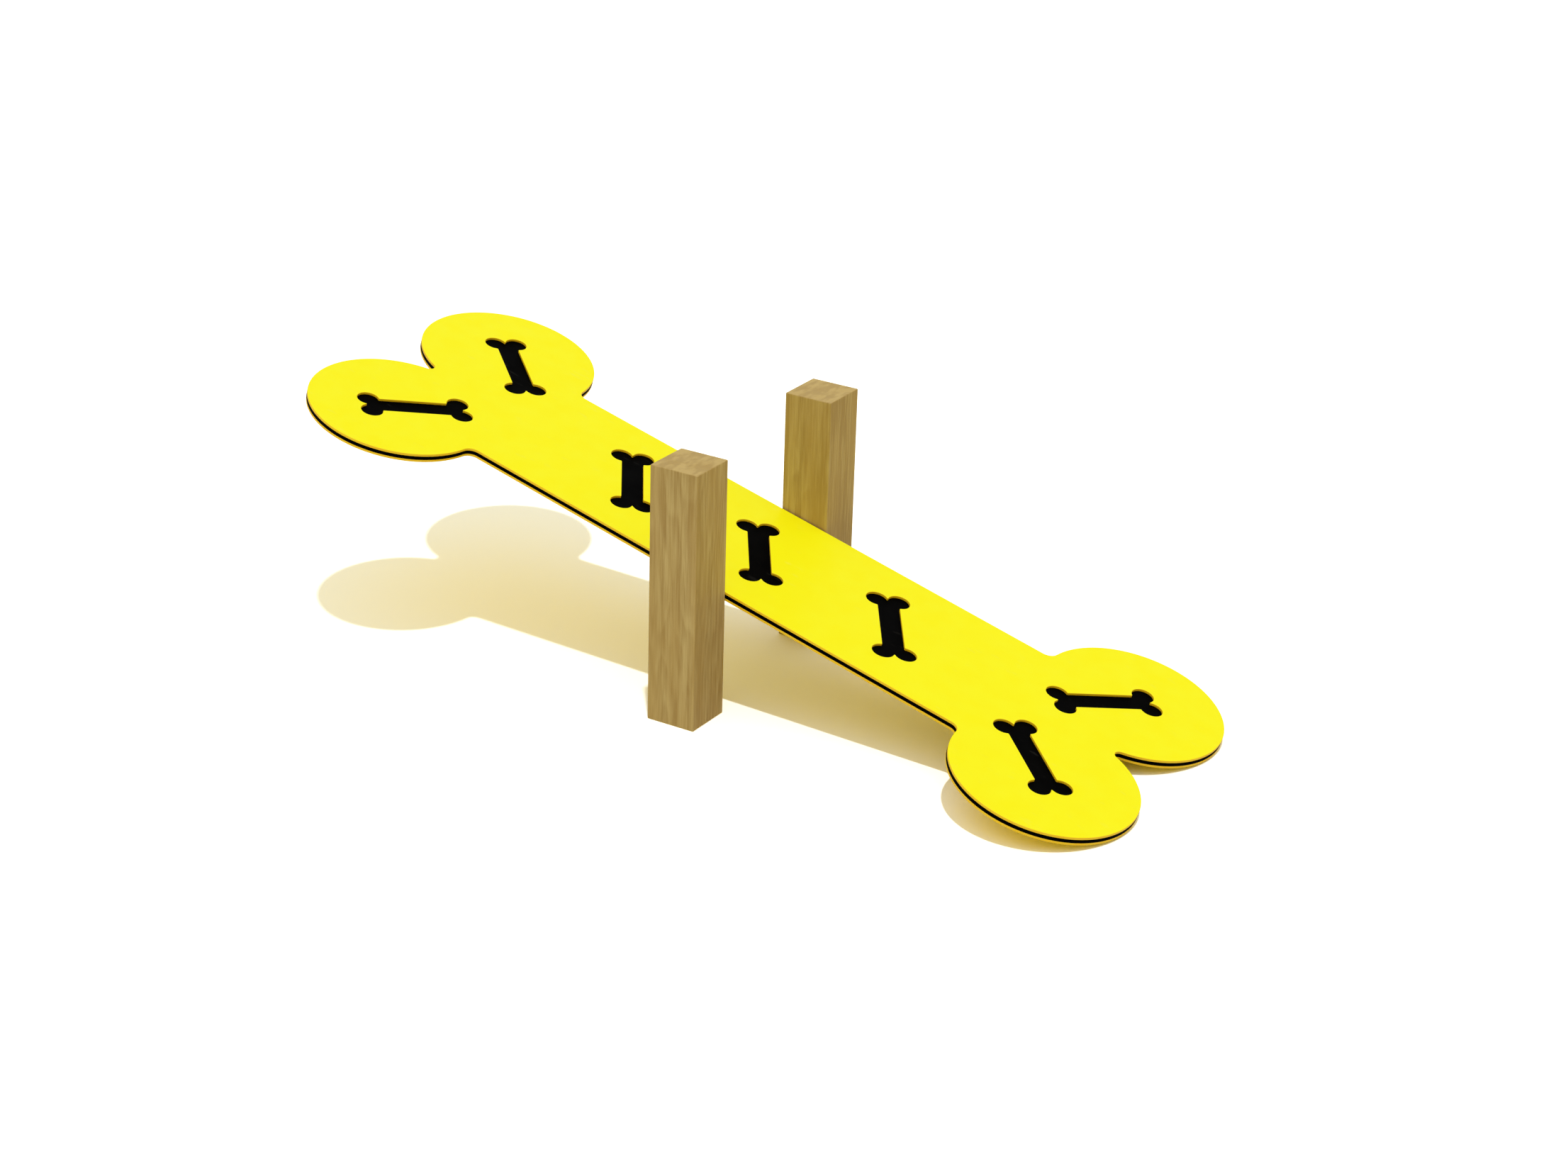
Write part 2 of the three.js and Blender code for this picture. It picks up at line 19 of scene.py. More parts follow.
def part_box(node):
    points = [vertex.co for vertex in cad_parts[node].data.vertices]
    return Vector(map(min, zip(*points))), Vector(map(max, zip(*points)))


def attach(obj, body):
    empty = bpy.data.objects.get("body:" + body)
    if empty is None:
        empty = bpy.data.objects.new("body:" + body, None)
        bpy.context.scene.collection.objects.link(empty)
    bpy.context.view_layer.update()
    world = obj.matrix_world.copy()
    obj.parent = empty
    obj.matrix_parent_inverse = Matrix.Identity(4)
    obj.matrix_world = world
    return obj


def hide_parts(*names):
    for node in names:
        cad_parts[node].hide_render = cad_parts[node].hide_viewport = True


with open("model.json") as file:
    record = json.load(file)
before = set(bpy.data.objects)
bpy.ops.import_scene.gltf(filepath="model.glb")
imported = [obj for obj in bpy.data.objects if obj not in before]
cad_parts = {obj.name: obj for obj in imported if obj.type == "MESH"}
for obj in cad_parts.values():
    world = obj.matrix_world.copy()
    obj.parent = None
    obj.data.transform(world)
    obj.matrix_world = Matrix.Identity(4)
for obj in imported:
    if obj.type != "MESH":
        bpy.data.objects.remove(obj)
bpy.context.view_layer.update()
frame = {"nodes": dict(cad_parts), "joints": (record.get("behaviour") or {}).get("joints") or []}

# %% [markdown]
# ## The board's own frame
#
# The board rests with one end on the ground, so nothing on it is level. Drawing on a slope is
# awkward. It is easier to draw each piece level, in a frame whose origin is on the axle, and to
# turn it into place at the end. The two end screws of a rail are alike, so the line through the
# middles of their boxes gives the slope.

# %% Slope of the board
def middle(node):
    low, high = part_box(node)
    return (low + high) / 2


def shift(x, y, z):
    return Matrix.Translation((x, y, z))


pivot = Vector(frame["joints"][0]["pos_m"])
along_rail = middle("far_rail_screw_4") - middle("far_rail_screw_1")
tilt = math.atan2(-along_rail.z, along_rail.x)
board_place = Matrix.Translation(pivot) @ Matrix.Rotation(tilt, 4, "Y")
print("axle height", round(pivot.z, 4), "m, slope", round(math.degrees(tilt), 3), "degrees")


# %% [markdown]
# A node's box in that level frame gives the sizes of the plain pieces. The box is taken over the
# node's own points, turned back by the slope.

# %% Level boxes
def level_box(node):
    """Lowest and highest corner of a node of the board, in the board's own frame."""
    back = board_place.inverted()
    points = [back @ vertex.co for vertex in frame["nodes"][node].data.vertices]
    low = Vector([min(point[i] for point in points) for i in range(3)])
    high = Vector([max(point[i] for point in points) for i in range(3)])
    return low, high


bottom_low, bottom_high = level_box("board_bottom_skin")
top_low, top_high = level_box("board_top_skin")
print("board", [round(1000 * size, 1) for size in top_high - top_low], "mm")

# %% [markdown]
# ## Camera
#
# The camera stands at the photograph's angle. Its azimuth, height, small roll and focal length were
# worked out from the corners of both posts and from the board's outline. The focal length is kept
# in pixels of the photograph, and Blender wants it in millimetres of a sensor, so it is scaled by
# the width of both.

# %% Camera
photo_width = 2212
focal_pixels = 4346.193
azimuth = math.radians(30.983)
elevation = math.radians(23.638)
roll = math.radians(1.771)
camera_distance = 5.8503
camera_slide = 0.0622
camera_rise = 0.1592

back = Vector((
    math.sin(azimuth) * math.cos(elevation),
    -math.cos(azimuth) * math.cos(elevation),
    math.sin(elevation),
))
level_right = Vector((math.cos(azimuth), math.sin(azimuth), 0))
level_up = back.cross(level_right)
right = level_right * math.cos(roll) + level_up * math.sin(roll)
up = level_up * math.cos(roll) - level_right * math.sin(roll)

camera_data = bpy.data.cameras.new("camera")
camera_data.lens = focal_pixels / photo_width * camera_data.sensor_width
camera = bpy.data.objects.new("camera", camera_data)
bpy.context.scene.collection.objects.link(camera)
stand = right * camera_slide + up * camera_rise + back * camera_distance
camera.matrix_world = Matrix.Translation(stand) @ Matrix((right, up, back)).transposed().to_4x4()
bpy.context.scene.camera = camera
print("lens", round(camera_data.lens, 2), "mm, camera at", [round(value, 3) for value in stand])

# %% [markdown]
# ## Nodes
#
# Every finish here is a node tree. A few small helpers keep them short. One turns a colour as a
# screen shows it into Blender's linear light, and one adds a node and wires its inputs in one go.
# The others calculate, blend two colours and rescale a value.

# %% Node helpers
def paint(red, green, blue):
    """Linear colour from screen values of 0 to 255."""
    def linear(value):
        share = value / 255
        return share / 12.92 if share <= 0.04045 else ((share + 0.055) / 1.055) ** 2.4

    return (linear(red), linear(green), linear(blue), 1)


def node(tree, kind, inputs=None, **settings):
    """Adds a shader node. Its inputs are values, or outputs of other nodes, by name or number."""
    made = tree.nodes.new("ShaderNode" + kind)
    for name, value in settings.items():
        setattr(made, name, value)
    for key, value in (inputs or {}).items():
        if isinstance(value, bpy.types.NodeSocket):
            tree.links.new(value, made.inputs[key])
        else:
            made.inputs[key].default_value = value
    return made


def calculate(tree, operation, *values):
    """Output of a Math node."""
    return node(tree, "Math", dict(enumerate(values)), operation=operation).outputs[0]


def blend(tree, factor, first, second):
    """Output of a Mix node between two colours."""
    return node(tree, "Mix", {0: factor, 6: first, 7: second}, data_type="RGBA").outputs[2]


def rescale(tree, value, low, high, new_low, new_high):
    """Output of a Map Range node, held within its new limits."""
    inputs = {
        "Value": value, "From Min": low, "From Max": high, "To Min": new_low, "To Max": new_high
    }
    return node(tree, "MapRange", inputs, clamp=True).outputs[0]


def mask(tree, value, low, high):
    """Output that is 0 up to the low value and 1 from the high value on."""
    return rescale(tree, value, low, high, 0.0, 1.0)


print("a screen grey of 128 is", round(paint(128, 128, 128)[0], 3), "in linear light")

# %% [markdown]
# ## Floor, sky and sun
#
# The light is a plain studio: a pale sky, and one soft sun that stands high on the camera's side.
# Together they give a level surface about the brightness that its colour has. The sun's place was
# fitted to the shadow in the photograph. The shadow there is golden close under the board and pale
# under its raised end. Light that gets in low under the board lights it, so the lower part of the
# sky is warm and the rest is white. The sky looks white to the camera and in reflections, through
# Light Path.
#
# The camera sees the floor brighter than the light that bounces off it, so that its lit part is
# white and its shadow is light. The floor is clear from below, and to light that starts within a
# millimetre and a half of it, so that the underside of the board and the soles of the posts can be
# looked at.

# %% Stage
sky_strength = 0.6
warm_horizon = (0.92, 0.78, 0.05, 1)
warm_band = (0.33, 0.7)
sun_strength = 1.3
sun_softness = math.radians(1.5)
sun_lean = math.radians(14.5)
sun_azimuth = math.radians(37)
floor_reach = 60
floor_drop = 0.0003
clear_depth = 0.0015
plain_white = (1, 1, 1, 1)
floor_bounce = (0.82, 0.82, 0.82, 1)
floor_extra = (0.57, 0.59, 0.62, 1)

scene = bpy.context.scene
scene.view_settings.view_transform = "Standard"
world = bpy.data.worlds.new("pale sky")
world.use_nodes = True
scene.world = world
tree = world.node_tree
tree.nodes.clear()
path = node(tree, "LightPath")
seen = calculate(tree, "MAXIMUM", path.outputs["Is Camera Ray"], path.outputs["Is Glossy Ray"])
seen = calculate(tree, "MAXIMUM", seen, path.outputs["Is Transmission Ray"])
height = node(tree, "SeparateXYZ", {0: node(tree, "TexCoord").outputs["Generated"]}).outputs["Z"]
sky_colour = blend(tree, mask(tree, height, *warm_band), warm_horizon, plain_white)
even = node(tree, "Background", {"Color": sky_colour, "Strength": sky_strength})
white = node(tree, "Background", {"Color": plain_white, "Strength": 1.0})
mixed = node(tree, "MixShader", {0: seen, 1: even.outputs[0], 2: white.outputs[0]})
node(tree, "OutputWorld", {"Surface": mixed.outputs[0]})

bpy.ops.object.select_all(action="DESELECT")
bpy.ops.mesh.primitive_plane_add(size=floor_reach, location=(0, 0, -floor_drop))
floor = bpy.context.object
floor.name = "floor"
floor_finish = bpy.data.materials.new("pale floor")
floor_finish.use_nodes = True
tree = floor_finish.node_tree
tree.nodes.clear()
path = node(tree, "LightPath")
camera_ray = path.outputs["Is Camera Ray"]
bounce = node(tree, "BsdfDiffuse", {"Color": floor_bounce})
pale = node(tree, "BsdfDiffuse", {"Color": plain_white})
extra = node(tree, "BsdfDiffuse", {"Color": floor_extra})
bright = node(tree, "AddShader", {0: pale.outputs[0], 1: extra.outputs[0]})
rays = path.outputs["Is Glossy Ray"], path.outputs["Is Transmission Ray"]
mirrored = calculate(tree, "MAXIMUM", *rays)
plain = node(tree, "MixShader", {0: mirrored, 1: bounce.outputs[0], 2: pale.outputs[0]})
shown = node(tree, "MixShader", {0: camera_ray, 1: plain.outputs[0], 2: bright.outputs[0]})
behind = node(tree, "NewGeometry").outputs["Backfacing"]
below = calculate(tree, "MULTIPLY", camera_ray, behind)
clear = node(tree, "BsdfTransparent")
close = calculate(tree, "LESS_THAN", path.outputs["Ray Length"], clear_depth)
gone = calculate(tree, "MAXIMUM", below, close)
mixed = node(tree, "MixShader", {0: gone, 1: shown.outputs[0], 2: clear.outputs[0]})
node(tree, "OutputMaterial", {"Surface": mixed.outputs[0]})
floor.data.materials.append(floor_finish)

sun_data = bpy.data.lights.new("sun", "SUN")
sun_data.energy = sun_strength
sun_data.angle = sun_softness
sun = bpy.data.objects.new("sun", sun_data)
scene.collection.objects.link(sun)
sun_side = Vector((math.sin(sun_azimuth), -math.cos(sun_azimuth), 0))
toward_sun = sun_side * math.sin(sun_lean) + Vector((0, 0, 1)) * math.cos(sun_lean)
sun.rotation_mode = "QUATERNION"
sun.rotation_quaternion = toward_sun.to_track_quat("Z", "Y")
level = sun_strength * math.cos(sun_lean) / math.pi + sky_strength
print("light on a level surface", round(level, 3))

# %% [markdown]
# ## Effects that several finishes share
#
# Plastic sheet, rubber and moulded caps all have a fine uneven skin, so that is one node group with
# a cell size and a height. A noise is enough for it, because the dimples are about a millimetre
# wide. A group keeps the pattern in one place, and each material gives it its own scale.

# %% Group for an uneven skin
broad_share = 0.04


def add_socket(group, name, side, kind):
    return group.interface.new_socket(name=name, in_out=side, socket_type="NodeSocket" + kind)


def new_group(name, takes, gives):
    """Node group with its group input and output. A default of None makes a vector socket."""
    group = bpy.data.node_groups.new(name, "ShaderNodeTree")
    for socket, default in takes.items():
        kind = "Vector" if default is None else "Color" if isinstance(default, tuple) else "Float"
        made = add_socket(group, socket, "INPUT", kind)
        if default is not None:
            made.default_value = default
    for socket, kind in gives.items():
        add_socket(group, socket, "OUTPUT", kind)
    entry, result = group.nodes.new("NodeGroupInput"), group.nodes.new("NodeGroupOutput")
    return group, entry.outputs, result.inputs


def noise(tree, place, scale, detail):
    """Noise node over a place. Its first output is a value and its second a colour."""
    return node(tree, "TexNoise", {"Vector": place, "Scale": scale, "Detail": detail})


def skin_group():
    group, takes, gives = new_group(
        "uneven skin",
        {"Vector": None, "Cell": 0.002, "Depth": 0.00003},
        {"Height": "Float", "Tone": "Float"},
    )
    per_metre = calculate(group, "DIVIDE", 1.0, takes["Cell"])
    fine = noise(group, takes["Vector"], per_metre, 2.0)
    broad_scale = calculate(group, "MULTIPLY", per_metre, broad_share)
    broad = noise(group, takes["Vector"], broad_scale, 3.0)
    height = calculate(group, "MULTIPLY", fine.outputs[0], takes["Depth"])
    group.links.new(height, gives["Height"])
    group.links.new(broad.outputs[0], gives["Tone"])
    return group


uneven_skin = skin_group()
print("group:", uneven_skin.name, [item.name for item in uneven_skin.interface.items_tree])

# %% [markdown]
# Paws, claws and hands leave fine scratches on plastic and on metal. Each layer of the next group
# is a noise drawn out along one direction, cut off so that only its thin crests are left. Three
# directions together look unplanned. The group gives a mask, and a finish uses it for roughness,
# for a tiny groove and for a slightly paler tone.

# %% Group for scuffs
scuff_layers = ((0.3, 0.035), (1.25, 0.05), (2.3, 0.03))
scuff_lean = (0.2, 0.1)
scuff_crest = (0.66, 0.72)
patch_share = 0.12
patch_limits = (0.45, 0.62)


def scuff_group():
    group, takes, gives = new_group(
        "scuffs", {"Vector": None, "Spacing": 0.02, "Amount": 0.5}, {"Mask": "Float"}
    )
    per_metre = calculate(group, "DIVIDE", 1.0, takes["Spacing"])
    marks = 0.0
    for angle, stretch in scuff_layers:
        drawn = node(group, "Mapping", {
            "Vector": takes["Vector"],
            "Rotation": (*scuff_lean, angle),
            "Scale": (stretch, 1.0, 1.0),
        })
        streak = noise(group, drawn.outputs[0], per_metre, 4.0)
        crest = mask(group, streak.outputs[0], *scuff_crest)
        marks = calculate(group, "MAXIMUM", marks, crest)
    patch_scale = calculate(group, "MULTIPLY", per_metre, patch_share)
    patches = noise(group, takes["Vector"], patch_scale, 2.0)
    where = mask(group, patches.outputs[0], *patch_limits)
    scratched = calculate(group, "MULTIPLY", marks, where)
    group.links.new(calculate(group, "MULTIPLY", scratched, takes["Amount"]), gives["Mask"])
    return group


scuffs = scuff_group()
print("group:", scuffs.name)

# %% [markdown]
# Anything that stands outdoors has some dust on the faces that look up and in its corners. The next
# group lays a thin uneven veil of it over a colour. It looks at the surface's own direction, so the
# veil stays with the piece.

# %% Group for dust
dust_colour = (0.5, 0.45, 0.36, 1)
dust_facing = (-0.2, 0.9)
least_dust = 0.25
cloud_scale = 18.0
cloud_limits = (0.35, 0.75)


def dust_group():
    group, takes, gives = new_group(
        "dust",
        {"Vector": None, "Color": (0.5, 0.5, 0.5, 1), "Dust": dust_colour, "Amount": 0.1},
        {"Color": "Color"},
    )
    facing = node(group, "SeparateXYZ", {0: node(group, "TexCoord").outputs["Normal"]}).outputs["Z"]
    lying = rescale(group, facing, *dust_facing, least_dust, 1.0)
    cloud = noise(group, takes["Vector"], cloud_scale, 6.0)
    veil = calculate(group, "MULTIPLY", mask(group, cloud.outputs[0], *cloud_limits), lying)
    amount = calculate(group, "MULTIPLY", veil, takes["Amount"])
    group.links.new(blend(group, amount, takes["Color"], takes["Dust"]), gives["Color"])
    return group


dust = dust_group()
print("group:", dust.name)

# %% [markdown]
# ## Plastic finishes
#
# The sheet is polyethylene, coloured right through, with a satin skin that hides fingerprints. Its
# top is a strong, even yellow. The underside never sees the sun, and it is painted a deeper yellow
# as painted shade for the weaker light under the board, which also warms the light that it bounces
# onto the floor. One function makes each plastic from its colour, the size of its dimples and how
# rough it is.

# %% Plastic function
scuff_spacing = 0.012
pale_scratch = (0.9, 0.88, 0.8, 1)
scratch_paler = 0.3
scratch_rougher = 0.25
scratch_depth = 0.00002
tone_limits = (0.35, 0.65)
rough_limits = (0.3, 0.7)
rough_spread = 0.05


def new_material(name, roughness, specular=0.5, metallic=0.0):
    made = bpy.data.materials.new(name)
    made.use_nodes = True
    shader = made.node_tree.nodes["Principled BSDF"]
    shader.inputs["Roughness"].default_value = roughness
    shader.inputs["Specular IOR Level"].default_value = specular
    shader.inputs["Metallic"].default_value = metallic
    return made, made.node_tree, shader


def use(tree, group, inputs):
    """Outputs of a node group that is placed in a material."""
    return node(tree, "Group", inputs, node_tree=group).outputs


def raise_by(tree, shader, height):
    """Gives a finish its relief from a height in metres."""
    bump = node(tree, "Bump", {"Height": height, "Distance": 1.0})
    tree.links.new(bump.outputs[0], shader.inputs["Normal"])


def plastic(name, colour, deep, roughness, specular, cell, depth, scuffed, dusty):
    made, tree, shader = new_material(name, roughness, specular)
    place = node(tree, "TexCoord").outputs["Object"]
    skin = use(tree, uneven_skin, {"Vector": place, "Cell": cell, "Depth": depth})
    marks = use(tree, scuffs, {"Vector": place, "Spacing": scuff_spacing, "Amount": scuffed})[0]
    tone = blend(tree, mask(tree, skin["Tone"], *tone_limits), colour, deep)
    lighter = blend(tree, calculate(tree, "MULTIPLY", marks, scratch_paler), tone, pale_scratch)
    veil = use(tree, dust, {"Vector": place, "Color": lighter, "Amount": dusty})
    tree.links.new(veil[0], shader.inputs["Base Color"])
    smoothest, roughest = roughness - rough_spread, roughness + rough_spread
    rough = rescale(tree, skin["Tone"], *rough_limits, smoothest, roughest)
    rougher = calculate(tree, "ADD", rough, calculate(tree, "MULTIPLY", marks, scratch_rougher))
    tree.links.new(rougher, shader.inputs["Roughness"])
    groove = calculate(tree, "MULTIPLY", marks, -scratch_depth)
    raise_by(tree, shader, calculate(tree, "ADD", skin["Height"], groove))
    return made


sheet_dimple = {"cell": 0.0016, "depth": 0.00003}
yellow_wear = {"scuffed": 0.12, "dusty": 0.008}
black_wear = {"scuffed": 0.03, "dusty": 0.001}
yellow_sheet = plastic(
    "yellow sheet", paint(253, 248, 12), paint(253, 246, 9), 0.45, 0.12,
    **yellow_wear, **sheet_dimple,
)
# The underside's deeper yellow is painted shade, for the weaker light under the board.
shaded_yellow_underside = plastic(
    "yellow underside with painted shade", paint(253, 214, 12), paint(252, 208, 9), 0.45, 0.12,
    **yellow_wear, **sheet_dimple,
)
black_sheet = plastic(
    "black sheet", paint(2, 2, 2), paint(1, 1, 1), 0.5, 0.005, **black_wear, **sheet_dimple
)
print("plastics:", yellow_sheet.name, shaded_yellow_underside.name, black_sheet.name)

# %% [markdown]
# Where the router has cut the sheet, the plastic has lost its satin skin, and light gets a little
# way into it. The yellow cut edge is painted a warmer, deeper yellow than the face, as painted
# shade for the weaker light on the upright faces.

# %% Routed edges, with painted shade
cut_dimple = {"cell": 0.0008, "depth": 0.00003}
# The warmer, deeper yellow of the routed edge is painted shade on the upright faces.
shaded_yellow_cut = plastic(
    "yellow routed edge with painted shade", paint(255, 212, 28), paint(255, 205, 22), 0.5, 0.3,
    scuffed=0.05, dusty=0.015, **cut_dimple,
)
black_cut = plastic(
    "black routed edge", paint(2, 2, 2), paint(1, 1, 1), 0.55, 0.005, **black_wear, **cut_dimple
)
print("routed edges:", shaded_yellow_cut.name, black_cut.name)

# %% [markdown]
# Small plastic pieces have plainer skins. The caps are moulded with a fine matt grain. The bushes
# and washers are turned from hard white plastic, and the buffers are rubber, which is the roughest
# of them all and takes up dust.

# %% Caps, bearings and rubber
cap_plastic = plastic(
    "black moulded cap", paint(20, 20, 21), paint(14, 14, 15), 0.45, 0.4,
    cell=0.0007, depth=0.00005, scuffed=0.3, dusty=0.08,
)
bearing = plastic(
    "turned bearing plastic", paint(229, 227, 219), paint(218, 215, 204), 0.38, 0.5,
    cell=0.0009, depth=0.00001, scuffed=0.1, dusty=0.05,
)
rubber = plastic(
    "black rubber", paint(30, 30, 31), paint(22, 22, 23), 0.82, 0.35,
    cell=0.0011, depth=0.00008, scuffed=0.3, dusty=0.16,
)
print("small plastics:", cap_plastic.name, bearing.name, rubber.name)

# %% [markdown]
# ## Timber
#
# The posts are planed softwood. A tree grows in rings about its pith, so a ring pattern in three
# dimensions gives the sides their streaks and the top its arcs, with no seam between them. The pith
# lies behind the faces, because a square post of this size is sawn beside it, and it leans a
# little, so the rings meet a face in long arches. Softer streaks that follow the fibres lie over
# the rings, and the fibres themselves are a fine noise drawn out along the post.

# %% Group for timber grain
ring_width = 0.011
ring_wander = 0.055
late_share = 0.72
wander_cell = (0.045, 0.17, 2.0)
fibre_cell = (0.0011, 0.03, 3.0)
broad_cell = (0.03, 0.1, 2.0)
streak_cells = ((0.018, 0.06, 2.0), (0.0045, 0.04, 2.0), (0.0022, 0.04, 2.0))
streak_shares = (0.40, 0.35, 0.25)


def stretched_noise(tree, place, width, length_share, detail):
    """Noise whose cells are so wide, and longer along Z by one over the share."""
    drawn = node(tree, "Mapping", {"Vector": place, "Scale": (1.0, 1.0, length_share)})
    return noise(tree, drawn.outputs[0], 1 / width, detail).outputs[0]


def timber_group():
    group, takes, gives = new_group(
        "timber grain",
        {"Upright": None, "Leaning": None, "Ring": ring_width},
        {"Ring": "Float", "Streak": "Float", "Fibre": "Float", "Broad": "Float"},
    )
    place = takes["Upright"]
    split = node(group, "SeparateXYZ", {0: takes["Leaning"]})
    across = calculate(group, "MULTIPLY", split.outputs["X"], split.outputs["X"])
    deep = calculate(group, "MULTIPLY", split.outputs["Y"], split.outputs["Y"])
    radius = calculate(group, "SQRT", calculate(group, "ADD", across, deep))
    wander = calculate(group, "MULTIPLY", stretched_noise(group, place, *wander_cell), ring_wander)
    count = calculate(group, "DIVIDE", calculate(group, "ADD", radius, wander), takes["Ring"])
    dark = node(group, "ValToRGB", {0: calculate(group, "FRACT", count)})
    dark.color_ramp.interpolation = "EASE"
    dark.color_ramp.elements[0].color = (0, 0, 0, 1)
    dark.color_ramp.elements[1].color = (0, 0, 0, 1)
    crest = dark.color_ramp.elements.new(late_share)
    crest.color = (1, 1, 1, 1)
    group.links.new(dark.outputs[0], gives["Ring"])
    streaks = 0.0
    for cell, share in zip(streak_cells, streak_shares):
        band = stretched_noise(group, place, *cell)
        streaks = calculate(group, "MULTIPLY_ADD", band, share, streaks)
    group.links.new(streaks, gives["Streak"])
    group.links.new(stretched_noise(group, place, *fibre_cell), gives["Fibre"])
    group.links.new(stretched_noise(group, place, *broad_cell), gives["Broad"])
    return group


timber_grain = timber_group()
print("group:", timber_grain.name)

# %% [markdown]
# Each post is a different piece of wood, so each gets a finish with its own pith. The two faces
# that look along X are painted darker than the other two, as painted shade. The end of a post
# shows the cut ends of the fibres in soft light and dark bands. The planed corners are a little
# paler.

# %% Timber function
post_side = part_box("near_post")[1].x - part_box("near_post")[0].x
post_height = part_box("near_post")[1].z
early_wood = paint(205, 181, 127)
late_wood = paint(169, 139, 84)
warm_wood = paint(187, 156, 97)
pale_corner = paint(200, 173, 114)
end_grain = paint(168, 139, 82)
pale_end = paint(196, 169, 108)
end_facing = (0.6, 0.95)
side_shade_share = 0.24
streak_limits = (0.42, 0.58)
streak_share = 0.74
streak_loss_at_end = 0.8
ring_share_on_sides = 0.34
ring_share_at_end = 0.3
warm_limits = (0.4, 0.7)
warm_share = 0.5
fibre_limits = (0.35, 0.7)
fibre_share = 0.22
corner_inset = (0.0022, 0.0005)
corner_share = 0.3
end_band_stretch = (1.0, 0.4, 1.0)
end_band_scale = 62.0
end_share = 0.6
early_roughness = 0.7
late_roughness = 0.58
ring_relief = 0.00006
fibre_relief = 0.00008
timber_dust = 0.05


def timber(name, post, pith, lean):
    """Finish of one post. The pith is where the rings start, and the lean tips them."""
    made, tree, shader = new_material(name, 0.62, 0.18)
    place = node(tree, "TexCoord").outputs["Object"]
    centre = middle(post)
    to_middle = (-centre.x, -centre.y, pith[2])
    upright = node(tree, "Mapping", {"Vector": place, "Location": to_middle}).outputs[0]
    about_pith = node(tree, "Mapping", {
        "Vector": upright, "Location": (pith[0], pith[1], 0), "Rotation": (lean[0], lean[1], 0)
    })
    grain = use(tree, timber_grain, {"Upright": upright, "Leaning": about_pith.outputs[0]})
    facing = node(tree, "SeparateXYZ", {0: node(tree, "TexCoord").outputs["Normal"]}).outputs
    end = mask(tree, calculate(tree, "ABSOLUTE", facing["Z"]), *end_facing)
    # The faces that look along X are painted darker here: painted shade.
    side_shade = calculate(tree, "MULTIPLY", calculate(tree, "ABSOLUTE", facing["X"]), side_shade_share)
    lost = calculate(tree, "MULTIPLY", end, streak_loss_at_end)
    along = calculate(tree, "SUBTRACT", 1.0, lost)
    streak = rescale(tree, grain["Streak"], *streak_limits, 0.0, streak_share)
    streak = calculate(tree, "MULTIPLY", streak, along)
    ring_share = rescale(tree, end, 0.0, 1.0, ring_share_on_sides, ring_share_at_end)
    ring = calculate(tree, "MULTIPLY", grain["Ring"], ring_share)
    dark = calculate(tree, "ADD", calculate(tree, "ADD", streak, ring), side_shade)
    tone = blend(tree, dark, early_wood, late_wood)
    warm = rescale(tree, grain["Broad"], *warm_limits, 0.0, warm_share)
    fibre = rescale(tree, grain["Fibre"], *fibre_limits, 0.0, fibre_share)
    fibred = blend(tree, fibre, blend(tree, warm, tone, warm_wood), late_wood)
    from_middle = node(tree, "VectorMath", {0: upright}, operation="ABSOLUTE").outputs[0]
    sides = node(tree, "SeparateXYZ", {0: from_middle}).outputs
    nearest = calculate(tree, "MINIMUM", sides["X"], sides["Y"])
    inner, outer = (post_side / 2 - inset for inset in corner_inset)
    corner = rescale(tree, nearest, inner, outer, 0.0, corner_share)
    paler = blend(tree, corner, fibred, pale_corner)
    drawn = node(tree, "Mapping", {"Vector": upright, "Scale": end_band_stretch})
    band = noise(tree, drawn.outputs[0], end_band_scale, 2.0)
    cut_end = blend(tree, mask(tree, band.outputs[0], *streak_limits), end_grain, pale_end)
    ended = blend(tree, calculate(tree, "MULTIPLY", end, end_share), paler, cut_end)
    veil = use(tree, dust, {"Vector": place, "Color": ended, "Amount": timber_dust})
    tree.links.new(veil[0], shader.inputs["Base Color"])
    rough = rescale(tree, grain["Ring"], 0.0, 1.0, early_roughness, late_roughness)
    tree.links.new(rough, shader.inputs["Roughness"])
    ridge = calculate(tree, "MULTIPLY", grain["Ring"], ring_relief)
    hair = calculate(tree, "MULTIPLY", grain["Fibre"], fibre_relief)
    raise_by(tree, shader, calculate(tree, "ADD", ridge, hair))
    return made


near_timber = timber("near post timber", "near_post", (0.012, -0.085, 0.3), (0.05, 0.012))
far_timber = timber("far post timber", "far_post", (-0.016, -0.078, 1.7), (0.045, -0.015))
print("timber:", near_timber.name, far_timber.name, "ring width", 1000 * ring_width, "mm")

# %% [markdown]
# ## Metals
#
# Zinc freezes on hot-dipped steel in flat crystals, each with its own grey, about a centimetre
# across. A Voronoi pattern gives such cells. A noise bends their straight borders, and a second one
# lays patches of chalky zinc on them.

# %% Galvanised steel
crystals_per_metre = 115.0
crystal_waves_per_metre = 120.0
crystal_wave = (0.004, 0.004, 0.004)
dark_zinc = (0.40, 0.415, 0.43, 1)
pale_zinc = (0.56, 0.575, 0.59, 1)
chalky_zinc = (0.62, 0.63, 0.63, 1)
chalk_scale = 22.0
chalk_limits = (0.5, 0.75)
chalk_share = 0.45
zinc_roughness = (0.34, 0.5)
zinc_scuffs = {"Spacing": 0.015, "Amount": 0.5}
zinc_scratch_rougher = 0.2
zinc_dust = 0.12
crystal_relief = 0.00001
chalk_relief = 0.00006


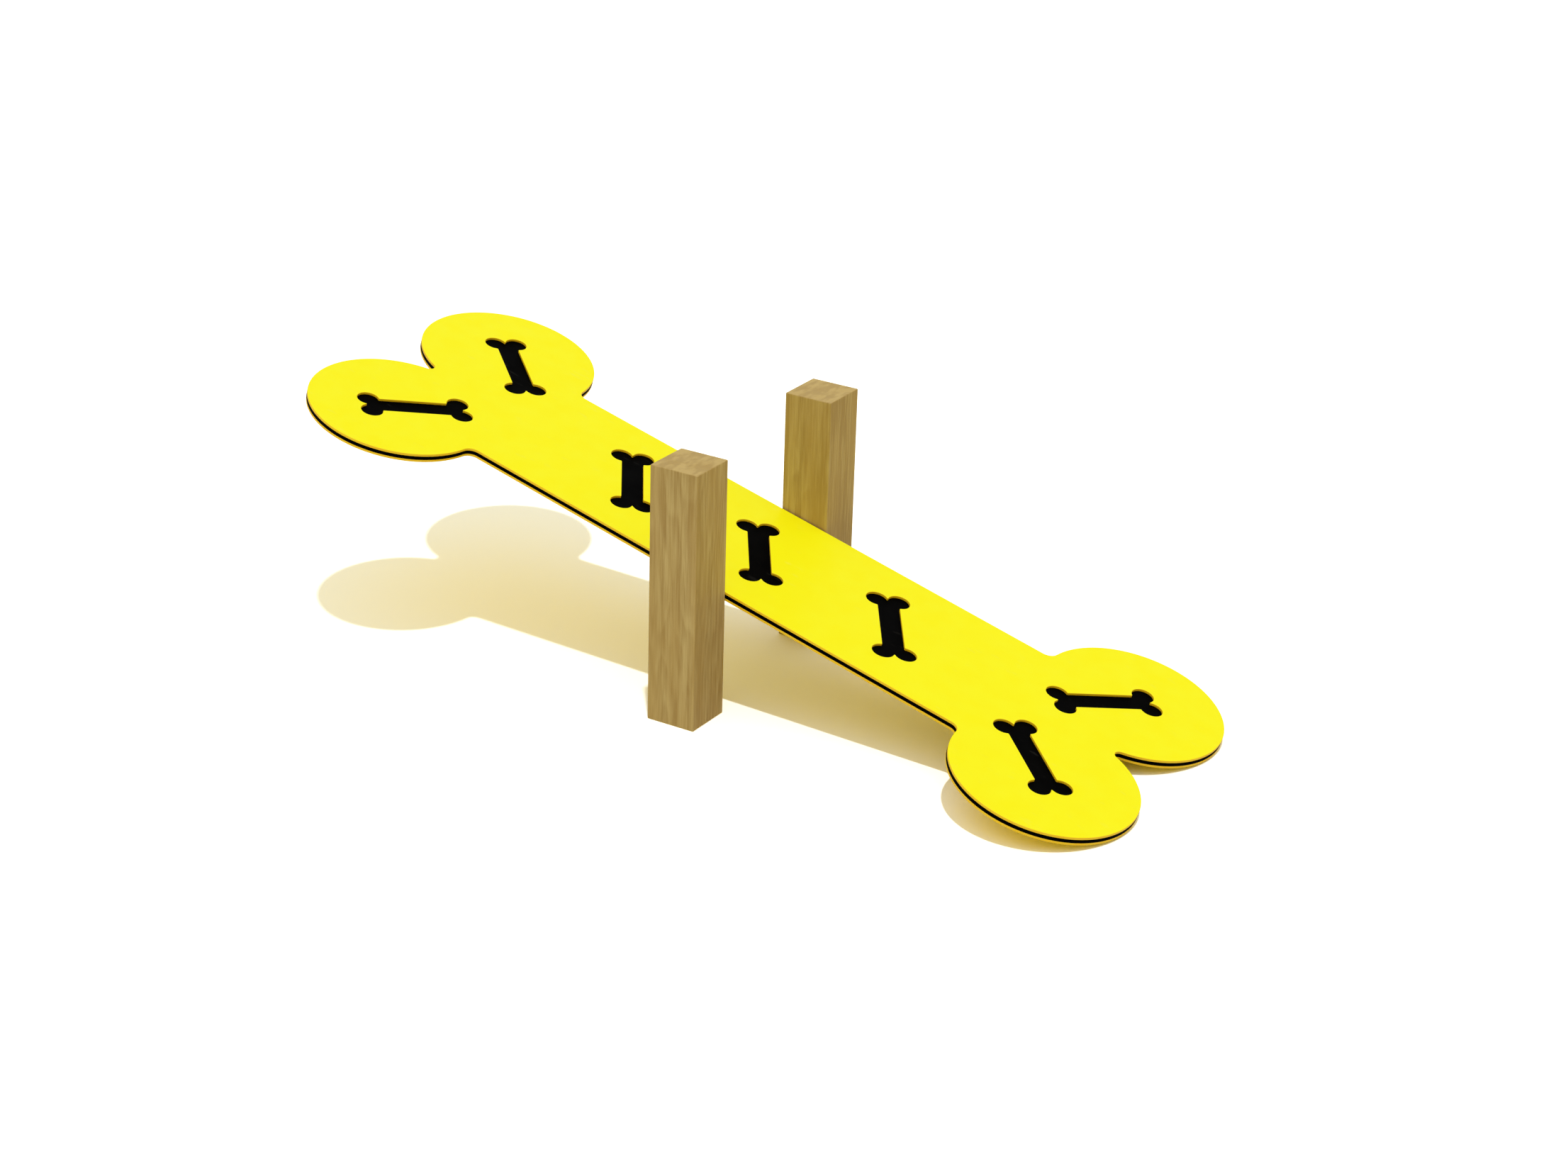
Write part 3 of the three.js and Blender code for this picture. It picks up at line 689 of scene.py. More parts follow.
def galvanised():
    made, tree, shader = new_material("galvanised steel", 0.42, 0.5, 0.85)
    place = node(tree, "TexCoord").outputs["Object"]
    wavy = noise(tree, place, crystal_waves_per_metre, 2.0).outputs["Color"]
    moved = node(tree, "VectorMath", {0: wavy, 1: crystal_wave}, operation="MULTIPLY")
    bent = node(tree, "VectorMath", {0: place, 1: moved.outputs[0]}, operation="ADD")
    crystals = node(tree, "TexVoronoi", {"Vector": bent.outputs[0], "Scale": crystals_per_metre})
    shade = node(tree, "SeparateColor", {0: crystals.outputs["Color"]}).outputs
    grey = blend(tree, shade[0], dark_zinc, pale_zinc)
    chalk = noise(tree, place, chalk_scale, 6.0).outputs[0]
    dull = blend(tree, rescale(tree, chalk, *chalk_limits, 0.0, chalk_share), grey, chalky_zinc)
    veil = use(tree, dust, {"Vector": place, "Color": dull, "Amount": zinc_dust})
    tree.links.new(veil[0], shader.inputs["Base Color"])
    rough = rescale(tree, shade[1], 0.0, 1.0, *zinc_roughness)
    marks = use(tree, scuffs, {"Vector": place, **zinc_scuffs})
    rougher = calculate(tree, "MULTIPLY_ADD", marks[0], zinc_scratch_rougher, rough)
    tree.links.new(rougher, shader.inputs["Roughness"])
    crystal_height = calculate(tree, "MULTIPLY", shade[2], crystal_relief)
    raise_by(tree, shader, calculate(tree, "MULTIPLY_ADD", chalk, chalk_relief, crystal_height))
    return made


galvanised_steel = galvanised()
print("zinc crystals:", round(1000 / crystals_per_metre, 1), "mm")

# %% [markdown]
# Bright steel has no crystals. It carries the fine lines of the tool that turned or drew it, which
# make it smoother and rougher in turn.

# %% Stainless and drawn steel
tool_line_stretch = (1.0, 1.0, 0.15)
tool_line_relief = 0.000012
tool_line_smoother = 0.06
tool_line_rougher = 0.1
bright_cloud_scale = 90.0
bright_dust = 0.05
bright_shares = (1, 1, 1.01)
dull_shares = (0.88, 0.88, 0.9)


def bright_steel(name, tone, roughness, line_scale):
    made, tree, shader = new_material(name, roughness, 0.5, 1.0)
    place = node(tree, "TexCoord").outputs["Object"]
    drawn = node(tree, "Mapping", {"Vector": place, "Scale": tool_line_stretch})
    lines = noise(tree, drawn.outputs[0], line_scale, 3.0).outputs[0]
    cloud = noise(tree, place, bright_cloud_scale, 3.0).outputs[0]
    bright, duller = (
        (*(tone * share for share in shares), 1) for shares in (bright_shares, dull_shares)
    )
    shade = blend(tree, mask(tree, cloud, *tone_limits), bright, duller)
    veil = use(tree, dust, {"Vector": place, "Color": shade, "Amount": bright_dust})
    tree.links.new(veil[0], shader.inputs["Base Color"])
    smoothest, roughest = roughness - tool_line_smoother, roughness + tool_line_rougher
    rough = rescale(tree, lines, *rough_limits, smoothest, roughest)
    tree.links.new(rough, shader.inputs["Roughness"])
    raise_by(tree, shader, calculate(tree, "MULTIPLY", lines, tool_line_relief))
    return made


stainless = bright_steel("stainless fastener", 0.6, 0.26, 2400.0)
axle_steel = bright_steel("drawn axle steel", 0.56, 0.3, 1500.0)
print("bright steels:", stainless.name, axle_steel.name)

# %% [markdown]
# ## Modelling helpers
#
# Blender's operators work on what is selected. So a piece is made the only selected and active
# object before anything is done to it, and in edit mode its faces or edges are picked by a test of
# where they lie.

# %% Selecting
def only(piece):
    bpy.ops.object.select_all(action="DESELECT")
    piece.select_set(True)
    bpy.context.view_layer.objects.active = piece
    return piece


def edit(piece):
    only(piece)
    bpy.ops.object.mode_set(mode="EDIT")


def leave():
    bpy.ops.object.mode_set(mode="OBJECT")


def pick(piece, kind, test):
    """In edit mode, selects the edges or faces that pass a test."""
    bpy.ops.mesh.select_mode(type=kind)
    bpy.ops.mesh.select_all(action="DESELECT")
    mesh = bmesh.from_edit_mesh(piece.data)
    for item in mesh.edges if kind == "EDGE" else mesh.faces:
        if test(item):
            item.select_set(True)
    mesh.select_flush_mode()
    bmesh.update_edit_mesh(piece.data)


print("selected so far:", len(bpy.context.selected_objects), "objects from the frame")

# %% [markdown]
# A modifier changes the whole piece at once and is applied right away, so that the mesh in the end
# is plain. Bevel rounds the edges that are sharper than a limit, Boolean cuts one piece with
# another, and Weighted Normal keeps flat faces flat beside rounded edges.

# %% Modifiers
bevel_limit = math.radians(40)
crease_limit = math.radians(32)


def modify(piece, kind, **settings):
    only(piece)
    modifier = piece.modifiers.new(kind.lower(), kind)
    for name, value in settings.items():
        setattr(modifier, name, value)
    bpy.ops.object.modifier_apply(modifier=modifier.name)
    return piece


def discard(*pieces):
    for piece in pieces:
        bpy.data.objects.remove(piece)


def combine(piece, other, operation):
    """Cuts a piece with another, or joins or crosses them. The other is used up."""
    modify(piece, "BOOLEAN", object=other, operation=operation, solver="EXACT")
    discard(other)
    return piece


def soften(piece, width, segments=3):
    return modify(
        piece, "BEVEL", width=width, segments=segments,
        limit_method="ANGLE", angle_limit=bevel_limit,
    )


def smooth(piece, limit=crease_limit):
    only(piece)
    bpy.ops.object.shade_smooth_by_angle(angle=limit)
    return modify(piece, "WEIGHTED_NORMAL", keep_sharp=True, weight=100)


print("solver for cuts: exact")

# %% [markdown]
# Many pieces are turned on a lathe: the axle, its bushes and washers, the buffers and the screws.
# The lathe's way is to draw half of the section and spin it. A small plane merged to one point
# starts the line, extruding that point draws it, and Spin sweeps it about Z. Where the ends meet,
# the doubled points are merged. Points can be selected alone only in point mode, so that mode is
# set first.

# %% Turning
full_turn = 2 * math.pi
seed_size = 0.01
merge_distance = 0.000002
lathe_steps = 48
screw_steps = 24
bearing_steps = 64


def start_point(x, y, z):
    bpy.ops.object.select_all(action="DESELECT")
    bpy.ops.mesh.primitive_plane_add(size=seed_size)
    piece = bpy.context.object
    bpy.ops.object.mode_set(mode="EDIT")
    bpy.ops.mesh.select_mode(type="VERT")
    bpy.ops.mesh.select_all(action="SELECT")
    bpy.ops.mesh.merge(type="CENTER")
    bpy.ops.transform.translate(value=(x, y, z))
    return piece


def extrude_by(x, y, z):
    bpy.ops.mesh.extrude_region_move(TRANSFORM_OT_translate={"value": (x, y, z)})


def clean_up():
    """In edit mode, merges doubled points and turns every face outwards."""
    bpy.ops.mesh.select_all(action="SELECT")
    bpy.ops.mesh.remove_doubles(threshold=merge_distance)
    bpy.ops.mesh.normals_make_consistent(inside=False)


def turned(profile, steps=lathe_steps):
    """Piece turned about Z from (radius, height) pairs."""
    piece = start_point(profile[0][0], 0, profile[0][1])
    for (radius, height), (next_radius, next_height) in zip(profile, profile[1:]):
        extrude_by(next_radius - radius, 0, next_height - height)
    bpy.ops.mesh.select_all(action="SELECT")
    bpy.ops.mesh.spin(steps=steps, angle=full_turn, center=(0, 0, 0), axis=(0, 0, 1))
    clean_up()
    leave()
    return piece


def bar(radius, low, high, steps=lathe_steps):
    return turned([(0, low), (radius, low), (radius, high), (0, high)], steps)


trial = bar(0.01, 0, 0.02)
print("a plain bar has", len(trial.data.polygons), "faces")
discard(trial)

# %% [markdown]
# Flat and square pieces start as a cube at their size. A finished piece is copied to each of its
# places. A copy gets a mesh of its own, moved and turned to its place. It hangs under the body that
# carries it, and the solids that it stands for are hidden. Most pieces have one finish all over, so
# a table gives the finish of each slot.

# %% Blocks and copies
same_place = 0.000001
finish_of = {
    "galvanised_steel": galvanised_steel,
    "stainless_fastener": stainless,
    "axle_steel": axle_steel,
    "bearing_plastic": bearing,
    "black_cap": cap_plastic,
    "black_rubber": rubber,
}


def block(low, high):
    low, high = Vector(low), Vector(high)
    bpy.ops.object.select_all(action="DESELECT")
    bpy.ops.mesh.primitive_cube_add(size=1, location=(low + high) / 2, scale=high - low)
    piece = bpy.context.object
    bpy.ops.object.transform_apply(location=True, rotation=True, scale=True)
    return piece


def round_edges(piece, axis, radius, segments=6):
    """Rounds the edges of a block that run along one axis."""
    edit(piece)
    others = [i for i in range(3) if i != axis]
    pick(piece, "EDGE", lambda edge: all(
        abs(edge.verts[0].co[i] - edge.verts[1].co[i]) < same_place for i in others
    ))
    bpy.ops.mesh.bevel(offset=radius, segments=segments, affect="EDGES")
    leave()
    return piece


def put(master, name, place, body, slot, finishes, *nodes):
    """Copies a finished piece to its place."""
    made = master.copy()
    made.data = master.data.copy()
    made.name = name
    scene.collection.objects.link(made)
    only(made)
    made.matrix_world = place
    bpy.ops.object.transform_apply(location=True, rotation=True, scale=True)
    made.data.materials.clear()
    for finish in finishes:
        made.data.materials.append(finish)
    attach(made, body)
    if nodes:
        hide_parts(*nodes)
    return made


def stand_in(master, label, place, body, slot):
    """Copies a piece of one finish to its place. It stands for the solid of that name."""
    put(master, label + "_finished", place, body, slot, [finish_of[slot]], label)


print("finishes by slot:", len(finish_of))

# %% [markdown]
# ## The bone outline
#
# The outline has four lobes on a straight shaft. Only a quarter of it is drawn. It starts in the
# crotch between two lobes, goes round the crotch fillet, round the lobe and round the neck fillet,
# and then straight along the shaft. Spin draws arcs as well as whole turns, and the arcs meet
# without a corner because the fillets touch the lobe. Two mirrors make the rest. Everything is
# multiplied by a scale, because the small bones have the same shape.

# %% Bone outline
lobe_radius = 0.175
neck_radius = 0.020
crotch_radius = 0.012
shaft_half = 0.175
lobe_reach = (top_high.x - top_low.x) / 2 - lobe_radius
mirror_merge = 0.00001
board_lobe_steps = 72
board_fillet_steps = 10


def arc(centre, angle, steps):
    """In edit mode, sweeps the last point about a centre. Spin turns clockwise, hence the minus."""
    bpy.ops.mesh.spin(steps=steps, angle=-angle, center=(*centre, 0), axis=(0, 0, 1))


def bone(scale, thickness, lobe_steps, fillet_steps):
    """Flat bone on the level plane, centred on the origin, extruded upwards."""
    lobe, neck, crotch = scale * lobe_radius, scale * neck_radius, scale * crotch_radius
    half, reach = scale * shaft_half, scale * lobe_reach
    crotch_angle = -math.asin(lobe / (lobe + crotch))
    neck_angle = math.pi - math.asin((half + neck - lobe) / (lobe + neck))
    crotch_middle = (reach + (lobe + crotch) * math.cos(crotch_angle), 0)
    neck_middle = (reach + (lobe + neck) * math.cos(neck_angle), half + neck)
    piece = start_point(crotch_middle[0] - crotch, 0, 0)
    arc(crotch_middle, crotch_angle, fillet_steps)
    arc((reach, lobe), neck_angle - crotch_angle, lobe_steps)
    arc(neck_middle, math.pi / 2 - neck_angle, fillet_steps)
    extrude_by(-neck_middle[0], 0, 0)
    leave()
    modify(piece, "MIRROR", use_axis=(True, True, False), merge_threshold=mirror_merge)
    edit(piece)
    bpy.ops.mesh.select_all(action="SELECT")
    bpy.ops.mesh.remove_doubles(threshold=merge_distance)
    bpy.ops.mesh.select_all(action="SELECT")
    bpy.ops.mesh.edge_face_add()
    bpy.ops.mesh.select_all(action="SELECT")
    extrude_by(0, 0, thickness)
    clean_up()
    leave()
    return piece


trial = bone(1, top_high.z - top_low.z, board_lobe_steps, board_fillet_steps)
print("outline", [round(1000 * size, 1) for size in trial.dimensions], "mm")
discard(trial)

# %% [markdown]
# ## The board
#
# The real board is one sandwich sheet, cut by a router, and its edge shows yellow, black and
# yellow. Each layer is a piece of its own. The layers touch, so the seam between them is a fine
# line. The small bones go right through the top layer, and the black core is their floor. A cutter
# three times as tall as the layer makes each of them, so that it comes out on both sides.

# %% Small bones
pocket_scale = 0.121
pocket_pitch = 0.297
pocket_row_offset = 0.003
shaft_pocket_angle = -55
falling_angle = -40
rising_angle = 50
lobe_pockets = [
    (1, -1, (-0.24, 0.18), falling_angle),
    (1, 1, (-0.22, -0.24), rising_angle),
    (-1, -1, (0.12, 0.135), rising_angle),
    (-1, 1, (0.19, -0.115), falling_angle),
]
pocket_places = [
    (pocket_row_offset + i * pocket_pitch, 0, shaft_pocket_angle) for i in (-1, 0, 1)
]
for end, side, (along, across), angle in lobe_pockets:
    u = end * lobe_reach + along * lobe_radius
    v = side * lobe_radius + across * lobe_radius
    pocket_places.append((u, v, angle))
pocket_length = 2 * pocket_scale * (lobe_reach + lobe_radius)
print("small bones:", len(pocket_places), "each", round(1000 * pocket_length, 1), "mm long")

# %% [markdown]
# The top layer is cut seven times and then its sharp edges are rounded over a little, as the router
# leaves them. The faces that stand upright get the second material, the routed edge, which on the
# yellow layers carries painted shade, a deeper yellow.

# %% Board layers
round_over = 0.0012
underside_edge = 0.0006
core_edge = 0.0001
cutter_layers = 3
pocket_lobe_steps = 26
pocket_fillet_steps = 5
routed_limit = 0.8


def mark_routed(piece):
    """Gives the second material slot to the faces that stand more upright than flat."""
    # On the yellow layers, the second slot is the painted shade of the upright faces.
    for face in piece.data.polygons:
        face.material_index = 1 if abs(face.normal.z) < routed_limit else 0


def layer(name, low, high, finishes, slot, node_name, pockets, edge):
    thickness = high - low
    piece = bone(1, thickness, board_lobe_steps, board_fillet_steps)
    for u, v, angle in pockets:
        cutter_height = cutter_layers * thickness
        cutter = bone(pocket_scale, cutter_height, pocket_lobe_steps, pocket_fillet_steps)
        turn = Matrix.Rotation(math.radians(angle), 4, "Z")
        cutter.matrix_world = shift(u, v, -thickness) @ turn
        combine(piece, cutter, "DIFFERENCE")
    soften(piece, edge)
    for finish in finishes:
        piece.data.materials.append(finish)
    mark_routed(piece)
    smooth(piece)
    places = [face.material_index for face in piece.data.polygons]
    place = board_place @ shift(0, 0, low)
    made = put(piece, name, place, "board", slot, finishes, node_name)
    made.data.polygons.foreach_set("material_index", places)
    discard(piece)
    print(name, len(made.data.polygons), "faces")


layer(
    "board_bottom_layer", bottom_low.z, bottom_high.z, (shaded_yellow_underside, shaded_yellow_cut),
    "yellow_plastic", "board_bottom_skin", [], underside_edge,
)
layer(
    "board_core_layer", bottom_high.z, top_low.z, (black_sheet, black_cut),
    "black_plastic", "board_core", [], core_edge,
)
layer(
    "board_top_layer", top_low.z, top_high.z, (yellow_sheet, shaded_yellow_cut),
    "yellow_plastic", "board_top_skin", pocket_places, round_over,
)

# %% [markdown]
# ## Posts
#
# A post is a square of planed timber with softly rounded corners. It is drawn in its own frame,
# where its inner face is at y = 0 and looks along +Y. Its pivot plate and its foot plate are let in
# flush, so pockets for both are cut.

# %% Posts
post_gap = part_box("far_post")[0].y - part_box("near_post")[1].y
post_corner = 0.0018
plate_half_width = 0.0349
plate_rise = 0.0203
plate_drop = 0.060
plate_thickness = 0.006
plate_corner = 0.006
socket_radius = 0.019
socket_depth = 0.0523
foot_half = 0.040
foot_thickness = 0.005
boss_radius = 0.014
boss_height = 0.040
seat_gap = 0.0003
overrun = 0.008
axle_height = pivot.z
half_turn = Matrix.Rotation(math.pi, 4, "Z")
z_to_minus_y = Matrix.Rotation(math.pi / 2, 4, "X")
at_axle = shift(0, 0, axle_height) @ z_to_minus_y
under_middle = shift(0, -post_side / 2, 0)
post_places = {
    "near": shift(0, -post_gap / 2, 0),
    "far": shift(0, post_gap / 2, 0) @ half_turn,
}


def plate(gap, depth, proud):
    """Block of the pivot plate in the post's frame. With a gap, it is the cutter for its pocket."""
    low = (-plate_half_width - gap, -depth, axle_height - plate_drop - gap)
    high = (plate_half_width + gap, proud, axle_height + plate_rise + gap)
    return round_edges(block(low, high), 1, plate_corner + gap)


def foot(gap, depth, proud):
    """Block of the foot plate in the post's frame. With a gap, it is the cutter for its pocket."""
    middle_y = -post_side / 2
    low = (-foot_half - gap, middle_y - foot_half - gap, -proud)
    high = (foot_half + gap, middle_y + foot_half + gap, depth)
    return round_edges(block(low, high), 2, plate_corner + gap)


def at(piece, place):
    """Moves a piece that is still being made."""
    only(piece)
    piece.matrix_world = place
    bpy.ops.object.transform_apply(location=True, rotation=True, scale=True)
    return piece


def post():
    piece = block((-post_side / 2, -post_side, 0), (post_side / 2, 0, post_height))
    soften(piece, post_corner)
    combine(piece, plate(seat_gap, plate_thickness + seat_gap, overrun), "DIFFERENCE")
    socket = at(bar(socket_radius + seat_gap, -overrun, socket_depth + seat_gap), at_axle)
    combine(piece, socket, "DIFFERENCE")
    combine(piece, foot(seat_gap, foot_thickness + seat_gap, overrun), "DIFFERENCE")
    boss = at(bar(boss_radius + seat_gap, -overrun, boss_height + seat_gap), under_middle)
    combine(piece, boss, "DIFFERENCE")
    return smooth(piece)


master = post()
for side, finish in (("near", near_timber), ("far", far_timber)):
    label = side + "_post"
    put(master, label + "_finished", post_places[side], "posts", "timber", [finish], label)
discard(master)
print("posts", round(1000 * post_side), "mm square,", round(1000 * post_gap, 1), "mm apart")

# %% [markdown]
# ## Screws
#
# A screw is a turned piece with a socket or a hexagon. Its thread is drawn as rings, which look the
# same as a helix at this size and turn on the lathe like the rest. Each screw is drawn about Z with
# its head at the origin and its point up, because nearly all of them go in from below. Those of the
# pivot plates are turned on their side.

# %% Thread and hexagon
crest_start = 0.4
crest_end = 0.6


def thread(radius, depth, pitch, start, end):
    """Rings of a thread, as (radius, height) pairs from start to end."""
    points = []
    for i in range(int((end - start) / pitch)):
        foot_height = start + i * pitch
        points += [
            (radius - depth, foot_height),
            (radius, foot_height + crest_start * pitch),
            (radius, foot_height + crest_end * pitch),
        ]
    return points + [(radius - depth, end)]


def hexagon(radius, low, high):
    bpy.ops.object.select_all(action="DESELECT")
    bpy.ops.mesh.primitive_cylinder_add(
        vertices=6, radius=radius, depth=high - low, location=(0, 0, (low + high) / 2)
    )
    bpy.ops.object.transform_apply(location=True, rotation=True, scale=True)
    return bpy.context.object


trial = hexagon(0.01, 0, 0.01)
print("a hexagon has", len(trial.data.vertices), "points")
discard(trial)

# %% [markdown]
# Countersunk wood screws hold the steel plates to the posts. Their heads are flush, with a
# six-sided socket.

# %% Wood screws
screw_head = 0.006
screw_face = 0.0057
screw_rim = 0.0004
screw_cone = 0.0034
screw_shank = 0.0026
screw_length = 0.045
screw_socket = 0.0023
screw_socket_depth = 0.002
plain_shank_end = 0.015
wood_thread = {"depth": 0.0008, "pitch": 0.0022, "start": 0.0152}
screw_point = 0.006
plate_screw_x = 0.0266
plate_screw_rise = 0.012
plate_screw_drop = -0.0517
foot_screw_reach = 0.028


def wood_screw():
    profile = [(0, 0), (screw_face, 0), (screw_head, screw_rim), (screw_shank, screw_cone)]
    profile += [(screw_shank, plain_shank_end)]
    profile += thread(screw_shank, **wood_thread, end=screw_length - screw_point)
    profile += [(0, screw_length)]
    socket = hexagon(screw_socket, -screw_socket_depth, screw_socket_depth)
    return smooth(combine(turned(profile, screw_steps), socket, "DIFFERENCE"))


def wood_screw_bore():
    shank, head = screw_shank + seat_gap, screw_head + seat_gap
    end = screw_length + seat_gap
    profile = [(0, -overrun), (head, -overrun), (head, seat_gap)]
    profile += [(shank, screw_cone + seat_gap), (shank, end), (0, end)]
    return turned(profile, screw_steps)


plate_screw_places = [
    shift(x, 0, axle_height + rise) @ z_to_minus_y
    for rise in (plate_screw_rise, plate_screw_drop)
    for x in (-plate_screw_x, plate_screw_x)
]
foot_screw_places = [
    shift(reach, -post_side / 2 + reach, 0) for reach in (-foot_screw_reach, foot_screw_reach)
]
master = wood_screw()
for side, place in post_places.items():
    for kind, spots in (("plate", plate_screw_places), ("foot", foot_screw_places)):
        for i, spot in enumerate(spots, 1):
            label = f"{side}_{kind}_screw_{i}"
            stand_in(master, label, place @ spot, "posts", "stainless_fastener")
print("wood screw:", len(master.data.polygons), "faces, 12 of them")
discard(master)

# %% [markdown]
# Flanged hexagon screws go up through the tubes into the black core. The corners of a real hexagon
# head are turned off, so the head is a hexagon crossed with a turned cone. Two shorter ones lock
# the axle in the rails.

# %% Hexagon screws
hex_shank = 0.0037
hex_flange = 0.0085
flange_top = -0.0015
flange_rim = -0.0007
hex_head = 0.0074
hex_face = 0.0060
hex_cone = 0.0076
cone_edge = -0.0062
head_drop = 0.007
metric_thread = {"depth": 0.0006, "pitch": 0.00125, "start": 0.0006}
run_out = 0.002
blunt_tip = 0.001
lock_bolt_length = 0.0113
board_underside = bottom_low.z
rail_side = 0.030
head_seat = -rail_side / 2 - seat_gap
screw_tip = 0.0250


def threaded_shank(length):
    """Section of a machine screw from the seat of its head to its tip."""
    rings = thread(hex_shank, **metric_thread, end=length - run_out)
    return [(hex_shank, 0)] + rings + [(hex_shank - blunt_tip, length), (0, length)]


def hex_screw(length):
    bottom = -head_drop
    cone = turned([(0, bottom), (hex_face, bottom), (hex_cone, cone_edge), (hex_cone, 0), (0, 0)])
    head = combine(hexagon(hex_head, bottom, 0), cone, "INTERSECT")
    profile = [(0, flange_top), (hex_cone, flange_top), (hex_flange, flange_rim), (hex_flange, 0)]
    piece = turned(profile + threaded_shank(length), screw_steps)
    return smooth(combine(piece, head, "UNION"))


board_screw = hex_screw(screw_tip - head_seat)
lock_bolt = hex_screw(lock_bolt_length)
for piece in (board_screw, lock_bolt):
    print("hexagon screw of", round(1000 * piece.dimensions.z, 1), "mm")

# %% [markdown]
# ## Under-frame
#
# A rail is square steel tube. It is a block whose two ends are taken away, with its long edges
# rounded, and Solidify gives it its wall on the inside. The hole for the axle and the holes for the
# screws are cut through it.

# %% Rails
rail_wall = 0.002
rail_corner = 0.003
rail_low, rail_high = level_box("near_rail")
rail_half = (rail_high.x - rail_low.x) / 2
rail_offset = 0.080
rail_screws = [share * rail_half for share in (-0.72, -0.22, 0.22, 0.72)]
axle_radius = 0.010
bore_radius = hex_shank + seat_gap
facing_limit = 0.9


def square_tube(half_length):
    half = rail_side / 2
    piece = block((-half_length, -half, -half), (half_length, half, half))
    edit(round_edges(piece, 0, rail_corner, 5))
    pick(piece, "FACE", lambda face: abs(face.normal.x) > facing_limit)
    bpy.ops.mesh.delete(type="FACE")
    clean_up()
    leave()
    return modify(piece, "SOLIDIFY", thickness=rail_wall, offset=-1, use_even_offset=True)


def drilled(piece, radius, low, high, *spots):
    for x, y in spots:
        combine(piece, at(bar(radius, low, high, screw_steps), shift(x, y, 0)), "DIFFERENCE")
    return piece


def rail():
    piece = square_tube(rail_half)
    across = at(bar(axle_radius + seat_gap, -rail_side, rail_side), z_to_minus_y)
    combine(piece, across, "DIFFERENCE")
    drilled(piece, bore_radius, -rail_side, rail_side, *[(u, 0) for u in rail_screws])
    drilled(piece, bore_radius, -rail_side, 0, (0, 0))
    return smooth(piece)


def on_board(master, label, x, y, z, slot):
    """Puts a piece at a place in the board's own frame."""
    stand_in(master, label, board_place @ shift(x, y, z), "board", slot)


master = rail()
for side, v in (("near", -rail_offset), ("far", rail_offset)):
    on_board(master, side + "_rail", 0, v, 0, "galvanised_steel")
    for i, u in enumerate(rail_screws, 1):
        label = f"{side}_rail_screw_{i}"
        on_board(board_screw, label, u, v, head_seat, "stainless_fastener")
    on_board(lock_bolt, side + "_axle_lock_bolt", 0, v, head_seat, "stainless_fastener")
discard(master, lock_bolt)
print("rails", round(2000 * rail_half, 1), "mm long")

# %% [markdown]
# The crossbars are the same tube, shorter, turned a quarter, and closed with plastic caps. A cap
# starts as a block. Its front is rounded, inset and pushed in a little, and its back is inset and
# extruded for the plug.

# %% Crossbars and caps
crossbar_half = 0.240
crossbar_reach = 0.705
crossbar_screws = [share * crossbar_half for share in (-0.84, 0.84)]
cap_thickness = 0.004
cap_edge = 0.001
cap_rim = 0.0012
cap_step = 0.0004
cap_sink = 0.0005
straight_limit = 0.999
plug_length = 0.012
quarter_turn = Matrix.Rotation(math.pi / 2, 4, "Z")


def cap():
    half = rail_side / 2
    piece = round_edges(block((0, -half, -half), (cap_thickness, half, half)), 0, rail_corner)
    edit(piece)
    pick(piece, "FACE", lambda face: face.normal.x > facing_limit)
    bpy.ops.mesh.bevel(offset=cap_edge, segments=4, affect="EDGES")
    pick(piece, "FACE", lambda face: face.normal.x > straight_limit)
    bpy.ops.mesh.inset(thickness=cap_rim)
    bpy.ops.mesh.inset(thickness=cap_step)
    bpy.ops.transform.translate(value=(-cap_sink, 0, 0))
    pick(piece, "FACE", lambda face: face.normal.x < -facing_limit)
    bpy.ops.mesh.inset(thickness=rail_wall + seat_gap)
    extrude_by(-plug_length, 0, 0)
    clean_up()
    leave()
    return smooth(piece)


def crossbar():
    piece = square_tube(crossbar_half)
    drilled(piece, bore_radius, -rail_side, rail_side, *[(v, 0) for v in crossbar_screws])
    return smooth(piece)


tube = crossbar()
cap_master = cap()
side_turns = {"near": half_turn, "far": Matrix.Identity(4)}
for end, u in (("low", crossbar_reach), ("high", -crossbar_reach)):
    place = board_place @ shift(u, 0, 0) @ quarter_turn
    stand_in(tube, end + "_crossbar", place, "board", "galvanised_steel")
    for side, turn in side_turns.items():
        label = f"{end}_crossbar_{side}_cap"
        out = turn @ shift(crossbar_half + seat_gap, 0, 0)
        stand_in(cap_master, label, place @ out, "board", "black_cap")
    for i, v in enumerate(crossbar_screws, 1):
        label = f"{end}_crossbar_screw_{i}"
        on_board(board_screw, label, u, v, head_seat, "stainless_fastener")
discard(tube, cap_master, board_screw)
print("crossbars", round(2000 * crossbar_half, 1), "mm long")

# %% [markdown]
# Rails and crossbars are welded. A bead runs down both sides of each joint and along its bottom,
# and it has the small ripples of a hand weld. A circle is extruded in short steps, and each ring is
# scaled a little up or down.

# %% Weld beads
bead_radius = 0.0026
bead_sides = 12
bead_step = 0.0012
bead_tip = 0.5
bead_swell = 1.9
bead_ripple = 1.14
bead_crease = math.radians(60)
side_bead_length = 0.024
lower_bead_length = 0.023


def bead(length):
    bpy.ops.object.select_all(action="DESELECT")
    bpy.ops.mesh.primitive_circle_add(
        vertices=bead_sides, radius=bead_radius, fill_type="NGON", location=(0, 0, -length / 2)
    )
    piece = bpy.context.object
    bpy.ops.object.transform_apply(location=True, rotation=True, scale=True)
    bpy.ops.object.mode_set(mode="EDIT")
    bpy.ops.mesh.select_all(action="SELECT")
    bpy.ops.transform.resize(value=(bead_tip, bead_tip, 1))
    count = int(length / bead_step)
    growth = [bead_ripple if i % 2 else 1 / bead_ripple for i in range(count)]
    growth[0], growth[-1] = bead_swell, bead_tip
    for grow in growth:
        extrude_by(0, 0, length / count)
        bpy.ops.transform.resize(value=(grow, grow, 1))
    clean_up()
    leave()
    return smooth(piece, bead_crease)


